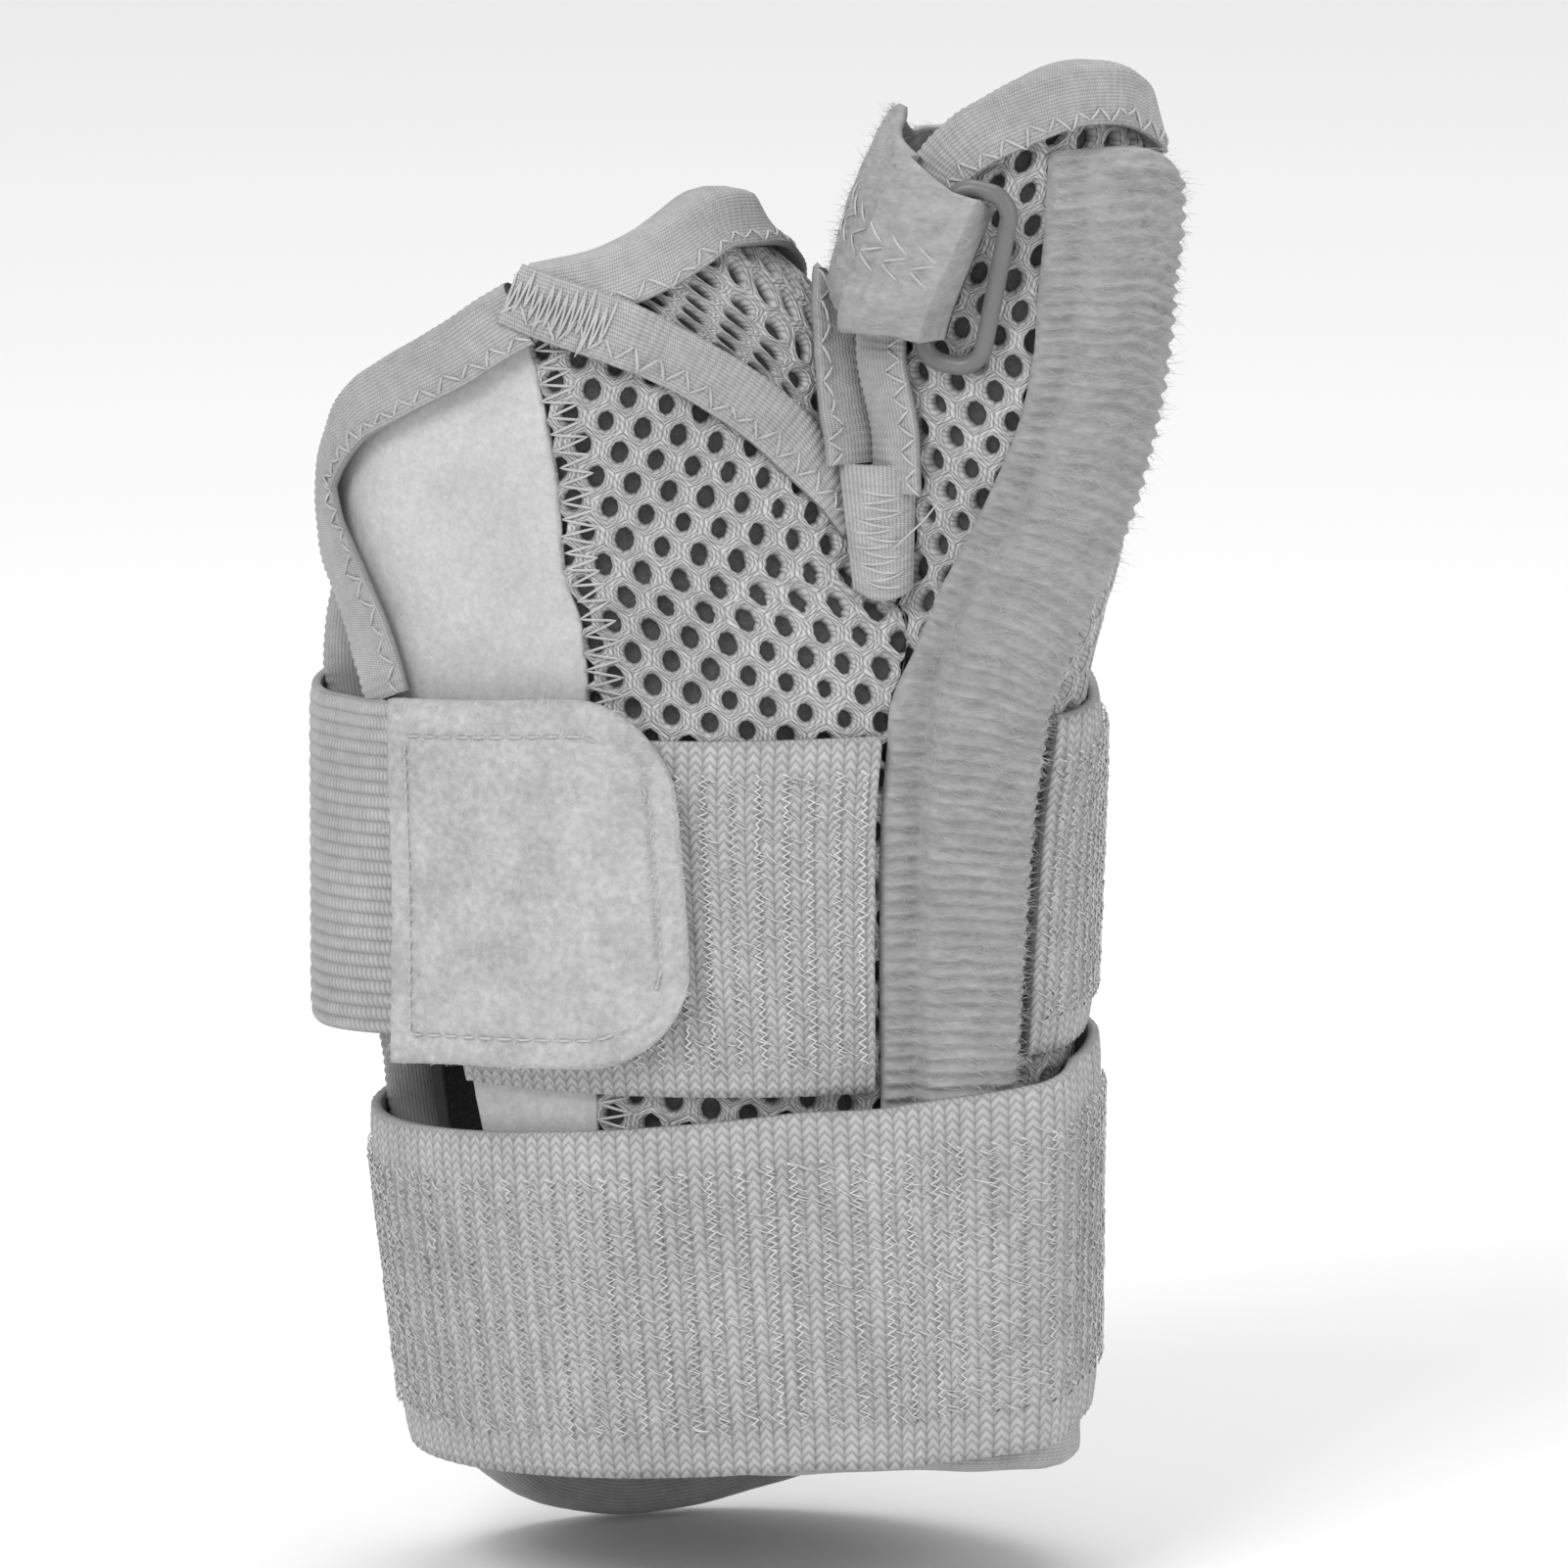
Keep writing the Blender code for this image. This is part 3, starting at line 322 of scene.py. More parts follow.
# Length of a band's middle line, where at(u, v, lift) gives its points
def middleLength(at, count):
    return pathLength(at(np.linspace(0, 1, count), np.full(count, 0.5), np.zeros(count)))


# Cheap smooth noise: a sum of sines in turned directions, from -1 to 1
def wobble(a, b, seed=0):
    total = 0
    for k in range(4):
        turn = seed * 1.7 + k * 2.4
        total = total + np.sin((a * math.cos(turn) + b * math.sin(turn)) * (1 + 0.7 * k) + seed * 3.1 + k)
    return total / 4


# Mesh makers

# A mesh straight from arrays: points, faces of one size and a UV for each point
def meshPiece(name, points, faces, uv=None, cornerUv=None, caps=()):
    faces = np.asarray(faces, np.int32)
    caps = np.asarray(caps, np.int32).reshape(len(caps), -1) if len(caps) else np.zeros((0, 3), np.int32)
    corners = np.concatenate([faces.ravel(), caps.ravel()])
    starts = np.r_[np.arange(len(faces)) * faces.shape[1], faces.size + np.arange(len(caps)) * caps.shape[1]]
    mesh = bpy.data.meshes.new(name)
    mesh.vertices.add(len(points))
    mesh.vertices.foreach_set("co", np.ascontiguousarray(points, np.float32).ravel())
    mesh.loops.add(len(corners))
    mesh.loops.foreach_set("vertex_index", corners)
    mesh.polygons.add(len(faces) + len(caps))
    mesh.polygons.foreach_set("loop_start", starts.astype(np.int32))
    if uv is not None:
        cornerUv = np.asarray(uv)[corners]
    if cornerUv is not None:
        mesh.uv_layers.new(name="UVMap").data.foreach_set("uv", np.asarray(cornerUv, np.float32).ravel())
    mesh.polygons.foreach_set("use_smooth", np.ones(len(faces) + len(caps), bool))
    mesh.update(calc_edges=True)
    mesh.validate()
    piece = bpy.data.objects.new(name, mesh)
    bpy.context.scene.collection.objects.link(piece)
    return piece


def gridFaces(rows, cols, wrapCols=False):
    i, j = np.meshgrid(np.arange(rows - 1), np.arange(cols - (not wrapCols)), indexing="ij")
    after = (j + 1) % cols
    quads = np.stack([i * cols + j, (i + 1) * cols + j, (i + 1) * cols + after, i * cols + after], axis=-1)
    return quads.reshape(-1, 4)


# A wall between two grids of points, closed round its rim
def wallPiece(name, outer, inner, uv=None):
    rows, cols = outer.shape[:2]
    top = gridFaces(rows, cols)
    i, j = np.arange(rows), np.arange(cols)
    border = np.concatenate([i[:-1] * cols, (rows - 1) * cols + j[:-1], i[:0:-1] * cols + cols - 1, j[:0:-1]])
    after = np.roll(border, -1)
    count = rows * cols
    rim = np.stack([border, border + count, after + count, after], axis=-1)
    faces = np.concatenate([top, top[:, ::-1] + count, rim])
    points = np.concatenate([outer.reshape(-1, 3), inner.reshape(-1, 3)])
    both = None if uv is None else np.concatenate([uv.reshape(-1, 2), uv.reshape(-1, 2)])
    return meshPiece(name, points, faces, both)


# Many thin tubes: paths is (how many, stations, 3); a ring of points is turned round each tangent
def tubesPiece(name, paths, radius, sides=5, taper=0.35):
    paths = np.asarray(paths, float)
    number, stations = paths.shape[:2]
    tangent = np.gradient(paths, axis=1)
    tangent /= np.linalg.norm(tangent, axis=-1, keepdims=True) + 1e-12
    reference = np.where(np.abs(tangent[..., 2:3]) > 0.8, np.array([1.0, 0.2, 0]), np.array([0.1, 0.15, 1.0]))
    first = np.cross(tangent, reference)
    first /= np.linalg.norm(first, axis=-1, keepdims=True) + 1e-12
    second = np.cross(tangent, first)
    t = np.linspace(0, 1, stations)
    thin = 1 - (1 - taper) * (2 * np.abs(t - 0.5)) ** 4
    size = np.broadcast_to(np.asarray(radius, float).reshape(-1, 1) * thin[None, :], (number, stations))
    turn = np.linspace(0, 2 * np.pi, sides, endpoint=False)
    ring = first[:, :, None] * np.cos(turn)[:, None] - second[:, :, None] * np.sin(turn)[:, None]
    points = (paths[:, :, None] + ring * size[..., None, None]).reshape(-1, 3)
    one = gridFaces(stations, sides, True)
    faces = (np.arange(number)[:, None, None] * stations * sides + one[None]).reshape(-1, 4)
    steps = np.linalg.norm(np.diff(paths, axis=1), axis=-1)
    run = np.concatenate([np.zeros((number, 1)), np.cumsum(steps, axis=1)], axis=1)
    u = np.repeat(run[..., None], sides, axis=-1)
    v = np.broadcast_to(turn / (2 * np.pi), u.shape)
    ends = np.arange(number)[:, None] * stations * sides + np.arange(sides)
    caps = np.concatenate([ends, ends[:, ::-1] + (stations - 1) * sides])
    return meshPiece(name, points, faces, np.stack([u, v], axis=-1).reshape(-1, 2), caps=caps)


# Fine fibres: tapered ribbons of three stations that bend over from root to tip
def fibresPiece(name, roots, out, lean, length, width):
    number = len(roots)
    length = np.broadcast_to(length, (number,))[:, None]
    side = np.cross(out, lean + rng.normal(0, 0.3, (number, 3)))
    side /= np.linalg.norm(side, axis=-1, keepdims=True) + 1e-12
    mid = roots + out * length * 0.5 + lean * length * 0.25
    tip = roots + out * length * 0.72 + lean * length * 0.85
    half = side * width / 2
    points = np.stack([roots - half, roots + half, mid - half * 0.8, mid + half * 0.8, tip - half * 0.25,
                       tip + half * 0.25], axis=1)
    one = np.array([[0, 1, 3, 2], [2, 3, 5, 4]])
    faces = (np.arange(number)[:, None, None] * 6 + one[None]).reshape(-1, 4)
    shade = np.repeat(rng.random(number)[:, None], 6, axis=1)
    uv = np.stack([shade, np.broadcast_to([0, 0, 0.5, 0.5, 1, 1], shade.shape)], axis=-1)
    return meshPiece(name, points.reshape(-1, 3), faces, uv.reshape(-1, 2))


# Materials

def newGroup(name, inputs, outputs):
    group = bpy.data.node_groups.new(name, "ShaderNodeTree")
    for label, kind, value in inputs:
        made = group.interface.new_socket(label, in_out="INPUT", socket_type=kind)
        if value is not None:
            made.default_value = value
    for label, kind in outputs:
        group.interface.new_socket(label, in_out="OUTPUT", socket_type=kind)
    return group, group.nodes.new("NodeGroupInput"), group.nodes.new("NodeGroupOutput")


def mathNode(tree, how, a, b=None):
    node = tree.nodes.new("ShaderNodeMath")
    node.operation = how
    for place, value in enumerate((a, b)):
        if value is None:
            continue
        if isinstance(value, (int, float)):
            node.inputs[place].default_value = value
        else:
            tree.links.new(value, node.inputs[place])
    return node.outputs[0]


def floats(**values):
    return [(label, "NodeSocketFloat", value) for label, value in values.items()]


# Two octaves of noise made into a tone between Low and High
toneGroup, gIn, gOut = newGroup("fabricTone", [("Vector", "NodeSocketVector", None),
                                *floats(Scale=60.0, Low=0.8, High=1.15)], [("Tone", "NodeSocketFloat")])
coarse = toneGroup.nodes.new("ShaderNodeTexNoise")
coarse.inputs["Detail"].default_value = 3
toneGroup.links.new(gIn.outputs["Vector"], coarse.inputs["Vector"])
toneGroup.links.new(gIn.outputs["Scale"], coarse.inputs["Scale"])
fine = toneGroup.nodes.new("ShaderNodeTexNoise")
fine.inputs["Detail"].default_value = 2
toneGroup.links.new(gIn.outputs["Vector"], fine.inputs["Vector"])
toneGroup.links.new(mathNode(toneGroup, "MULTIPLY", gIn.outputs["Scale"], 9.0), fine.inputs["Scale"])
both = mathNode(toneGroup, "ADD", mathNode(toneGroup, "MULTIPLY", coarse.outputs["Fac"], 0.55),
                mathNode(toneGroup, "MULTIPLY", fine.outputs["Fac"], 0.45))
spread = toneGroup.nodes.new("ShaderNodeMapRange")
spread.inputs["From Min"].default_value, spread.inputs["From Max"].default_value = 0.33, 0.67
toneGroup.links.new(both, spread.inputs["Value"])
toneGroup.links.new(gIn.outputs["Low"], spread.inputs["To Min"])
toneGroup.links.new(gIn.outputs["High"], spread.inputs["To Max"])
toneGroup.links.new(spread.outputs["Result"], gOut.inputs["Tone"])

weaveOut = [("Height", "NodeSocketFloat"), ("GapShade", "NodeSocketFloat")]


def weaveGroup(name, **values):
    group, gIn, gOut = newGroup(name, [("UV", "NodeSocketVector", None), *floats(**values)], weaveOut)
    split = group.nodes.new("ShaderNodeSeparateXYZ")
    group.links.new(gIn.outputs["UV"], split.inputs[0])
    return group, gIn, gOut, split, lambda how, a, b=None: mathNode(group, how, a, b)


# Height is one part of two waves and the rest of the other, and the second output a power of both together: a
# mask for painted shade, low between the yarns
def weaveHeight(group, gOut, calc, one, two, share, power):
    height = calc("ADD", calc("MULTIPLY", one, share), calc("MULTIPLY", two, 1 - share))
    group.links.new(height, gOut.inputs["Height"])
    # This second output is a mask for painted shade: it is low between the yarns, where the colour is darkened
    group.links.new(calc("POWER", calc("MULTIPLY", one, two), power), gOut.inputs["GapShade"])


# Twisted yarn: rows of rounded ridges across V, each with slanted plies along U
yarnGroup, gIn, gOut, split, calc = weaveGroup("yarnRows", Rows=3.0, Plies=12.0, Twist=1.0)
acrossRows = calc("MULTIPLY", split.outputs["Y"], gIn.outputs["Rows"])
ridge = calc("ABSOLUTE", calc("SINE", calc("MULTIPLY", acrossRows, math.pi)))
slant = calc("ADD", calc("MULTIPLY", split.outputs["X"], gIn.outputs["Plies"]),
             calc("MULTIPLY", acrossRows, gIn.outputs["Twist"]))
ply = calc("ABSOLUTE", calc("SINE", calc("MULTIPLY", slant, math.pi)))
weaveHeight(yarnGroup, gOut, calc, ridge, ply, 0.65, 0.5)

# Knit: columns of slanted stitches. With f the distance from a column's middle, the height is half
# (1 - f squared) and half |sin(pi (rows + twist f))|
knitGroup, gIn, gOut, split, calc = weaveGroup("knitColumns", Rows=900.0, Plies=690.0, Twist=1.0)
column = calc("FRACT", calc("MULTIPLY", split.outputs["X"], gIn.outputs["Plies"]))
fromMiddle = calc("MULTIPLY", calc("ABSOLUTE", calc("SUBTRACT", column, 0.5)), 2.0)
crown = calc("SUBTRACT", 1.0, calc("MULTIPLY", fromMiddle, fromMiddle))
stitch = calc("ADD", calc("MULTIPLY", split.outputs["Y"], gIn.outputs["Rows"]),
              calc("MULTIPLY", fromMiddle, gIn.outputs["Twist"]))
bead = calc("ABSOLUTE", calc("SINE", calc("MULTIPLY", stitch, math.pi)))
weaveHeight(knitGroup, gOut, calc, crown, bead, 0.5, 0.35)


def groupNode(tree, group, links, values):
    node = tree.nodes.new("ShaderNodeGroup")
    node.node_tree = group
    for name, source in links.items():
        tree.links.new(source, node.inputs[name])
    for name, value in values.items():
        node.inputs[name].default_value = value
    return node


# Colour times a shade into the base colour, and a bump of a level
def paint(tree, shader, colour, shade, level, strength, distance):
    tint = tree.nodes.new("ShaderNodeVectorMath")
    tint.operation = "SCALE"
    tint.inputs[0].default_value = colour
    tree.links.new(shade, tint.inputs["Scale"])
    tree.links.new(tint.outputs[0], shader.inputs["Base Color"])
    relief = tree.nodes.new("ShaderNodeBump")
    relief.inputs["Strength"].default_value = strength
    relief.inputs["Distance"].default_value = distance
    tree.links.new(level, relief.inputs["Height"])
    tree.links.new(relief.outputs[0], shader.inputs["Normal"])


# One cloth material: colour times tone times painted shade in the gaps between yarns, and a bump of the same
# yarns
def clothMaterial(name, colour, gapShade=0.35, rows=3.0, plies=12.0, twist=1.0, tone=(60, 0.82, 1.12), bump=0.4,
                  distance=0.0002, roughness=0.85, sheen=0.15, fuzzScale=2500, fuzz=0.25, uv=True,
                  stretch=(1, 1, 1), weave=None):
    made = bpy.data.materials.new(name)
    made.use_nodes = True
    tree = made.node_tree
    shader = tree.nodes["Principled BSDF"]
    shader.inputs["Roughness"].default_value = roughness
    shader.inputs["Sheen Weight"].default_value = sheen
    shader.inputs["Sheen Roughness"].default_value = 0.5
    shader.inputs["Specular IOR Level"].default_value = 0.25
    place = tree.nodes.new("ShaderNodeTexCoord")
    mapping = tree.nodes.new("ShaderNodeMapping")
    mapping.inputs["Scale"].default_value = stretch
    tree.links.new(place.outputs["Object"], mapping.inputs["Vector"])
    shades = groupNode(tree, toneGroup, {"Vector": mapping.outputs[0]},
                       {"Scale": tone[0], "Low": tone[1], "High": tone[2]})
    hair = tree.nodes.new("ShaderNodeTexNoise")
    hair.inputs["Scale"].default_value = fuzzScale
    hair.inputs["Detail"].default_value = 2
    tree.links.new(mapping.outputs[0], hair.inputs["Vector"])
    level = mathNode(tree, "MULTIPLY", hair.outputs["Fac"], fuzz)
    shade = shades.outputs["Tone"]
    if uv:
        yarns = groupNode(tree, weave or yarnGroup, {"UV": place.outputs["UV"]},
                          {"Rows": rows, "Plies": plies, "Twist": twist})
        level = mathNode(tree, "ADD", level, yarns.outputs["Height"])
        # Painted shade: the colour is darkened in the gaps between yarns, down to the dark share
        gap = mathNode(tree, "ADD", mathNode(tree, "MULTIPLY", yarns.outputs["GapShade"], 1 - gapShade), gapShade)
        shade = mathNode(tree, "MULTIPLY", shade, gap)
    speck = mathNode(tree, "ADD", mathNode(tree, "MULTIPLY", hair.outputs["Fac"], fuzz), 1 - fuzz / 2)
    shade = mathNode(tree, "MULTIPLY", shade, speck)
    paint(tree, shader, colour, shade, level, bump, distance)
    return made


grey = lambda level: (level, level, level)
finishes = {
    "net": clothMaterial("netYarn", grey(0.60), gapShade=0.42, rows=3.0, plies=10, twist=0.6, bump=0.9,
                         distance=0.0003),
    # The dark pile under the nets is painted shade: it stands for the shade inside the net's holes, not the
    # fabric's own colour
    "holeShade": clothMaterial("holeShadePile", grey(0.085), uv=False, fuzzScale=1400, fuzz=0.8, bump=1.0,
                            distance=0.0006),
    "tape": clothMaterial("bindingTape", grey(0.47), gapShade=0.5, rows=2200, plies=3500, twist=0.5, bump=0.5),
    "elastic": clothMaterial("elasticKnit", grey(0.50), gapShade=0.42, rows=820, plies=640, twist=0.8, bump=0.9,
                             distance=0.0003, weave=knitGroup),
    "loops": clothMaterial("elasticLoops", grey(0.66), uv=False, tone=(300, 0.8, 1.2), fuzz=0.2, bump=0.2),
    "webbing": clothMaterial("webbingWeave", grey(0.45), gapShade=0.5, rows=590, plies=1400, twist=0.5,
                             bump=0.5),
    "felt": clothMaterial("tabFelt", grey(0.44), uv=False, fuzzScale=900, fuzz=0.5, bump=0.8, distance=0.0005,
                          tone=(140, 0.8, 1.15)),
    "plush": clothMaterial("plushPile", grey(0.33), uv=False, fuzzScale=700, fuzz=0.6, bump=0.9,
                           distance=0.0006,
                           tone=(200, 0.86, 1.12), stretch=(0.5, 0.5, 1.3)),
    "plushFibre": clothMaterial("plushFibre", grey(0.40), uv=False, tone=(300, 0.75, 1.25), fuzz=0.1,
                                bump=0.0, sheen=0.3),
    "fibre": clothMaterial("looseFibre", grey(0.62), uv=False, tone=(300, 0.85, 1.15), fuzz=0.1,
                           bump=0.0, sheen=0.3),
    "velvet": clothMaterial("velvetPile", grey(0.50), uv=False, fuzzScale=1800, fuzz=0.35, bump=0.6,
                            tone=(90, 0.86, 1.1), sheen=0.35),
    "thread": clothMaterial("sewingThread", grey(0.66), gapShade=0.6, rows=2.0, plies=2600, twist=1.0, bump=0.5),
}

withPieces = {}  # pieces that go with a sheet or pad, such as its stitches and fibres


def dress(piece, finish, replaces=None):
    piece.data.materials.append(finishes[finish])
    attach(piece, "root")
    if replaces:
        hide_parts(*replaces)
    return piece


def addTo(owner, piece):
    withPieces.setdefault(owner, []).append(piece)


# Seams and edges

seams = {"gap": 0.0003, "frontCrotch": 0.1215, "backCrotch": 0.120, "backEdge": 262.0, "hem": 0.0075}
hand, tall = tubes["handHeight"], tubes["thumbHeight"]
seamGap = lambda own, z: np.degrees(0.7 * seams["gap"] / tubeAt(own, z)[2])
valleyAngle = lambda z: smoothTable(valley, np.asarray(z) / hand)
backSeamAngle = lambda z: smoothTable(backSeam, np.asarray(z) / hand)
frontSeamAngle = lambda z: smoothTable(frontSeam, np.asarray(z) / hand)
closureEdge = lambda z: smoothTable(closureLeft, np.asarray(z) / hand)
level = lambda height: (lambda u: np.full(np.shape(u), float(height)))
fixed = lambda angle: (lambda z: np.full(np.shape(z), float(angle)))


# The thumb panel's edges: on the seam below a crotch, on its own edge above it
def thumbEdge(seamAngle, crotch, own):
    def at(z):
        low = np.minimum(z, crotch)
        seam = angleRound(thumb, skins[limb].at(seamAngle(low), low))
        edge = smoothTable(own, np.asarray(z) / tall)
        return seam + (edge - seam) * np.clip((z - crotch) / (0.05 * tall), 0, 1)
    return at


thumbLeft = thumbEdge(valleyAngle, seams["frontCrotch"], thumbFrontEdge)
thumbRight = thumbEdge(backSeamAngle, seams["backCrotch"], thumbBackEdge)
regions = {
    "front": (limb, frontSeamAngle, valleyAngle, level(seams["hem"]),
              lambda u: smoothTable(frontTop, u) * hand),
    "closure": (limb, closureEdge, frontSeamAngle, level(seams["hem"]),
                lambda u: smoothTable(closureTop, u) * hand),
    "thumb": (thumb, thumbLeft, thumbRight, lambda u: smoothTable(thumbBottom, u) * hand,
              lambda u: smoothTable(thumbTop, u) * tall),
    "back": (limb, backSeamAngle, fixed(seams["backEdge"]), lambda u: smoothTable(backBottom, u) * hand,
             lambda u: smoothTable(backTop, u) * hand),
}


# A patch of skin: bottom and top are heights at a share across, left and right angles at a height
def patch(region, across, up, lift=0.0):
    own, left, right, bottom, top = region
    u, v = unitGrid(across, up)
    z = bottom(u) + (top(u) - bottom(u)) * v
    degrees = left(z) + (right(z) - left(z)) * u
    return skins[own].at(degrees, z, lift), u, v


def tracePath(table, count, high):
    knots = np.arange(len(table), dtype=float)
    steps = np.linspace(0, len(table) - 1, count)
    angles = smoothTable(list(zip(knots, [row[0] for row in table])), steps)
    heights = smoothTable(list(zip(knots, [row[1] for row in table])), steps) * high
    return np.stack([angles, heights], axis=-1)


# The gusset between its lower edge, over the seam and round the web, and its upper edge
def gussetEdges(count):
    front = patch(regions["front"], 11, 2)[0][:, -1]
    seam = evenly(front, 13)
    seam = np.stack([angleRound(limb, seam), seam[:, 2] + 0.0022], axis=-1)
    lower = np.concatenate([seam[seam[:, 0] < gussetWeb[0][0] - 3], tracePath(gussetWeb, 18, hand)])
    upper = tracePath(gussetUpper, len(lower), hand)
    share = np.linspace(0, 1, count) * (len(lower) - 1)
    pick = lambda rows: np.stack([np.interp(share, np.arange(len(rows)), rows[:, k]) for k in (0, 1)], axis=-1)
    return pick(lower), pick(upper)


# Spacer net: hexagon cells on a slanted lattice, each a ring of yarn round an open oval hole

netCell = {
    "across": 0.00475, "rise": 0.0070, "holeWide": 0.00134, "holeTall": 0.00170, "slope": -11.0, "sides": 12,
}
netRings = (  # size of the hole, share of the way to the cell's edge, lift in metres
    (0.80, 0.00, -0.00165), (1.00, 0.00, -0.00010), (1.00, 0.26, 0.00022),
    (1.00, 0.60, 0.00024), (1.00, 1.00, -0.00002),
)


netDepth = {"face": -0.0017, "back": -0.0029}  # the sheet under the net, painted dark as the shade seen through the holes


def cellOutline():
    w, h = netCell["across"], netCell["rise"]
    side = (w * w / 4 + h * h / 4) / 2
    high, low = side / (h / 2), (side - w * w / 4) / (h / 2)
    corners = np.array([(w / 2, low), (0, high), (-w / 2, low), (-w / 2, -low), (0, -high), (w / 2, -low)])
    third = np.linspace(0, 1, netCell["sides"] // 6, endpoint=False)[:, None]
    return np.concatenate([a + (b - a) * third for a, b in zip(corners, np.roll(corners, -1, axis=0))])


# place maps pattern points (metres across, metres up) to skin points; inside says which centres to keep
def netPiece(name, place, inside, low, high):
    outline = cellOutline()
    sides = len(outline)
    half = (netCell["holeWide"], netCell["holeTall"])
    hole = outline / np.linalg.norm(outline / half, axis=1, keepdims=True)
    w, h = netCell["across"], netCell["rise"]
    turn = math.radians(netCell["slope"])
    spin = np.array([[math.cos(turn), -math.sin(turn)], [math.sin(turn), math.cos(turn)]])
    reach = max(high[0] - low[0], high[1] - low[1]) * 0.75 + 0.01
    i, j = np.meshgrid(np.arange(-int(reach / w) - 1, int(reach / w) + 2),
                       np.arange(-int(2 * reach / h) - 1, int(2 * reach / h) + 2), indexing="ij")
    centres = np.stack([(i + 0.5 * (j % 2)) * w, j * h / 2], axis=-1).reshape(-1, 2) @ spin.T
    centres = centres + (np.array(low) + np.array(high)) / 2
    centres = centres[inside(centres)]
    number = len(centres)
    size = 1 + rng.normal(0, 0.06, (number, 1, 1))
    lean = rng.normal(0, 0.05, (number, 1, 2)) * w / 4
    rings, lifts = [], []
    for scale, toEdge, lift in netRings:
        inner = hole[None] * scale * size + lean
        flat = inner * (1 - toEdge) + outline[None] * toEdge
        rings.append(centres[:, None] + flat @ spin.T)
        uneven = 0.00006 * wobble(rings[-1][..., 0] * 900, rings[-1][..., 1] * 900, 3)
        lifts.append(lift + uneven * (lift > -0.0003))
    flat = np.stack(rings, axis=1)
    lifts = np.stack(lifts, axis=1)
    points = place(flat.reshape(-1, 2), lifts.reshape(-1))
    one = []
    for k in range(len(netRings) - 1):
        a = np.arange(sides)
        b = (a + 1) % sides
        one.append(np.stack([k * sides + b, k * sides + a, (k + 1) * sides + a, (k + 1) * sides + b], axis=-1))
    one = np.concatenate(one)
    perCell = sides * len(netRings)
    faces = (np.arange(number)[:, None, None] * perCell + one[None]).reshape(-1, 4)
    ringOf, spot = np.divmod(one, sides)
    wrapped = np.where((spot == 0) & (spot.max(axis=1, keepdims=True) > 1), sides, spot)
    corner = np.stack([wrapped / sides, ringOf / (len(netRings) - 1)], axis=-1)
    cornerUv = np.broadcast_to(corner[None], (number, *corner.shape)).reshape(-1, 4, 2)
    cornerUv = cornerUv + np.repeat(rng.random((number, 1, 1)) * 3, len(one), axis=0) * np.array([1.0, 0.0])
    key = np.round(points * 2e5).astype(np.int64)
    _, first, index = np.unique(key, axis=0, return_index=True, return_inverse=True)
    faces, points = index.reshape(-1)[faces], points[first]
    pairs = ((0, 1), (1, 2), (2, 3), (3, 0), (0, 2), (1, 3))
    whole = np.all([faces[:, a] != faces[:, b] for a, b in pairs], axis=0)
    return meshPiece(name, points, faces[whole], cornerUv=cornerUv[whole])


# Net on a region of a tube: metres across are measured round the tube from its left edge
def netOnRegion(name, region):
    own, left, right, bottom, top = region
    skin = skins[own]
    heights = np.linspace(skin.z0 + 0.001, skin.z0 + skin.dz * (skin.points.shape[1] - 2), 90)
    start = left(np.clip(heights, 0.002, 0.175))
    middle = start[len(start) // 3]
    span = skin.turned(np.full(60, middle), np.full(60, 0.07), np.linspace(0, 0.3, 60))
    wide = 0.02 + 0.3 * np.mean(span < right(np.array([0.07]))[0])
    anchor = np.full(1, middle)

    def toAngle(flat):
        z = np.clip(flat[:, 1], skin.z0 + 0.0005, skin.z0 + skin.dz * (skin.points.shape[1] - 3))
        return skin.turned(np.repeat(anchor, len(z)), z, flat[:, 0]), z

    def shareOf(angle, z):
        a, b = left(z), right(z)
        return (angle - a) / np.maximum(b - a, 0.5)

    def inside(flat):
        angle, z = toAngle(flat)
        u = shareOf(angle, z)
        slack = netCell["across"] * 0.30
        pad = 0.04
        return (u > -pad / 2) & (u < 1 + pad / 2) & (flat[:, 1] > bottom(np.clip(u, 0, 1)) - slack) \
            & (flat[:, 1] < top(np.clip(u, 0, 1)) + slack)

    def place(flat, lifts):
        angle, z = toAngle(flat)
        u = np.clip(shareOf(angle, z), 0, 1)
        z = np.clip(z, bottom(u), top(u))
        angle = np.clip(angle, left(z), right(z))
        return skin.at(angle, z, lifts)

    lowest, highest = float(np.min(bottom(np.linspace(0, 1, 40)))), float(np.max(top(np.linspace(0, 1, 40))))
    return netPiece(name, place, inside, (-0.03, lowest), (wide, highest))


print("stage: spacer net")
for name, node in (("front", "front_panel"), ("thumb", "thumb_panel"), ("back", "back_panel")):
    region = regions[name]
    net = dress(netOnRegion(name + "Net", region), "net", [node])
    # Under each net a sheet coloured with painted shade, for the shade seen through its holes
    outer, u, v = patch(region, 36, 36, netDepth["face"])
    inner = patch(region, 36, 36, netDepth["back"])[0]
    uv = np.stack([u * 0.1, v * 0.12], axis=-1)
    holeShade = dress(wallPiece(name + "HoleShade", outer, inner, uv), "holeShade", [node])
    regions[name + "Pieces"] = (net, holeShade)

# Web gusset: its net is laid out between two edges

lowerEdge, upperEdge = gussetEdges(120)


def gussetAt(u, v, lift):
    at = u * (len(lowerEdge) - 1)
    k = np.clip(at.astype(int), 0, len(lowerEdge) - 2)
    f = (at - k)[..., None]
    lower = lowerEdge[k] * (1 - f) + lowerEdge[k + 1] * f
    upper = upperEdge[k] * (1 - f) + upperEdge[k + 1] * f
    both = lower + (upper - lower) * v[..., None]
    return skins[limbAlone].at(both[..., 0], both[..., 1], lift)


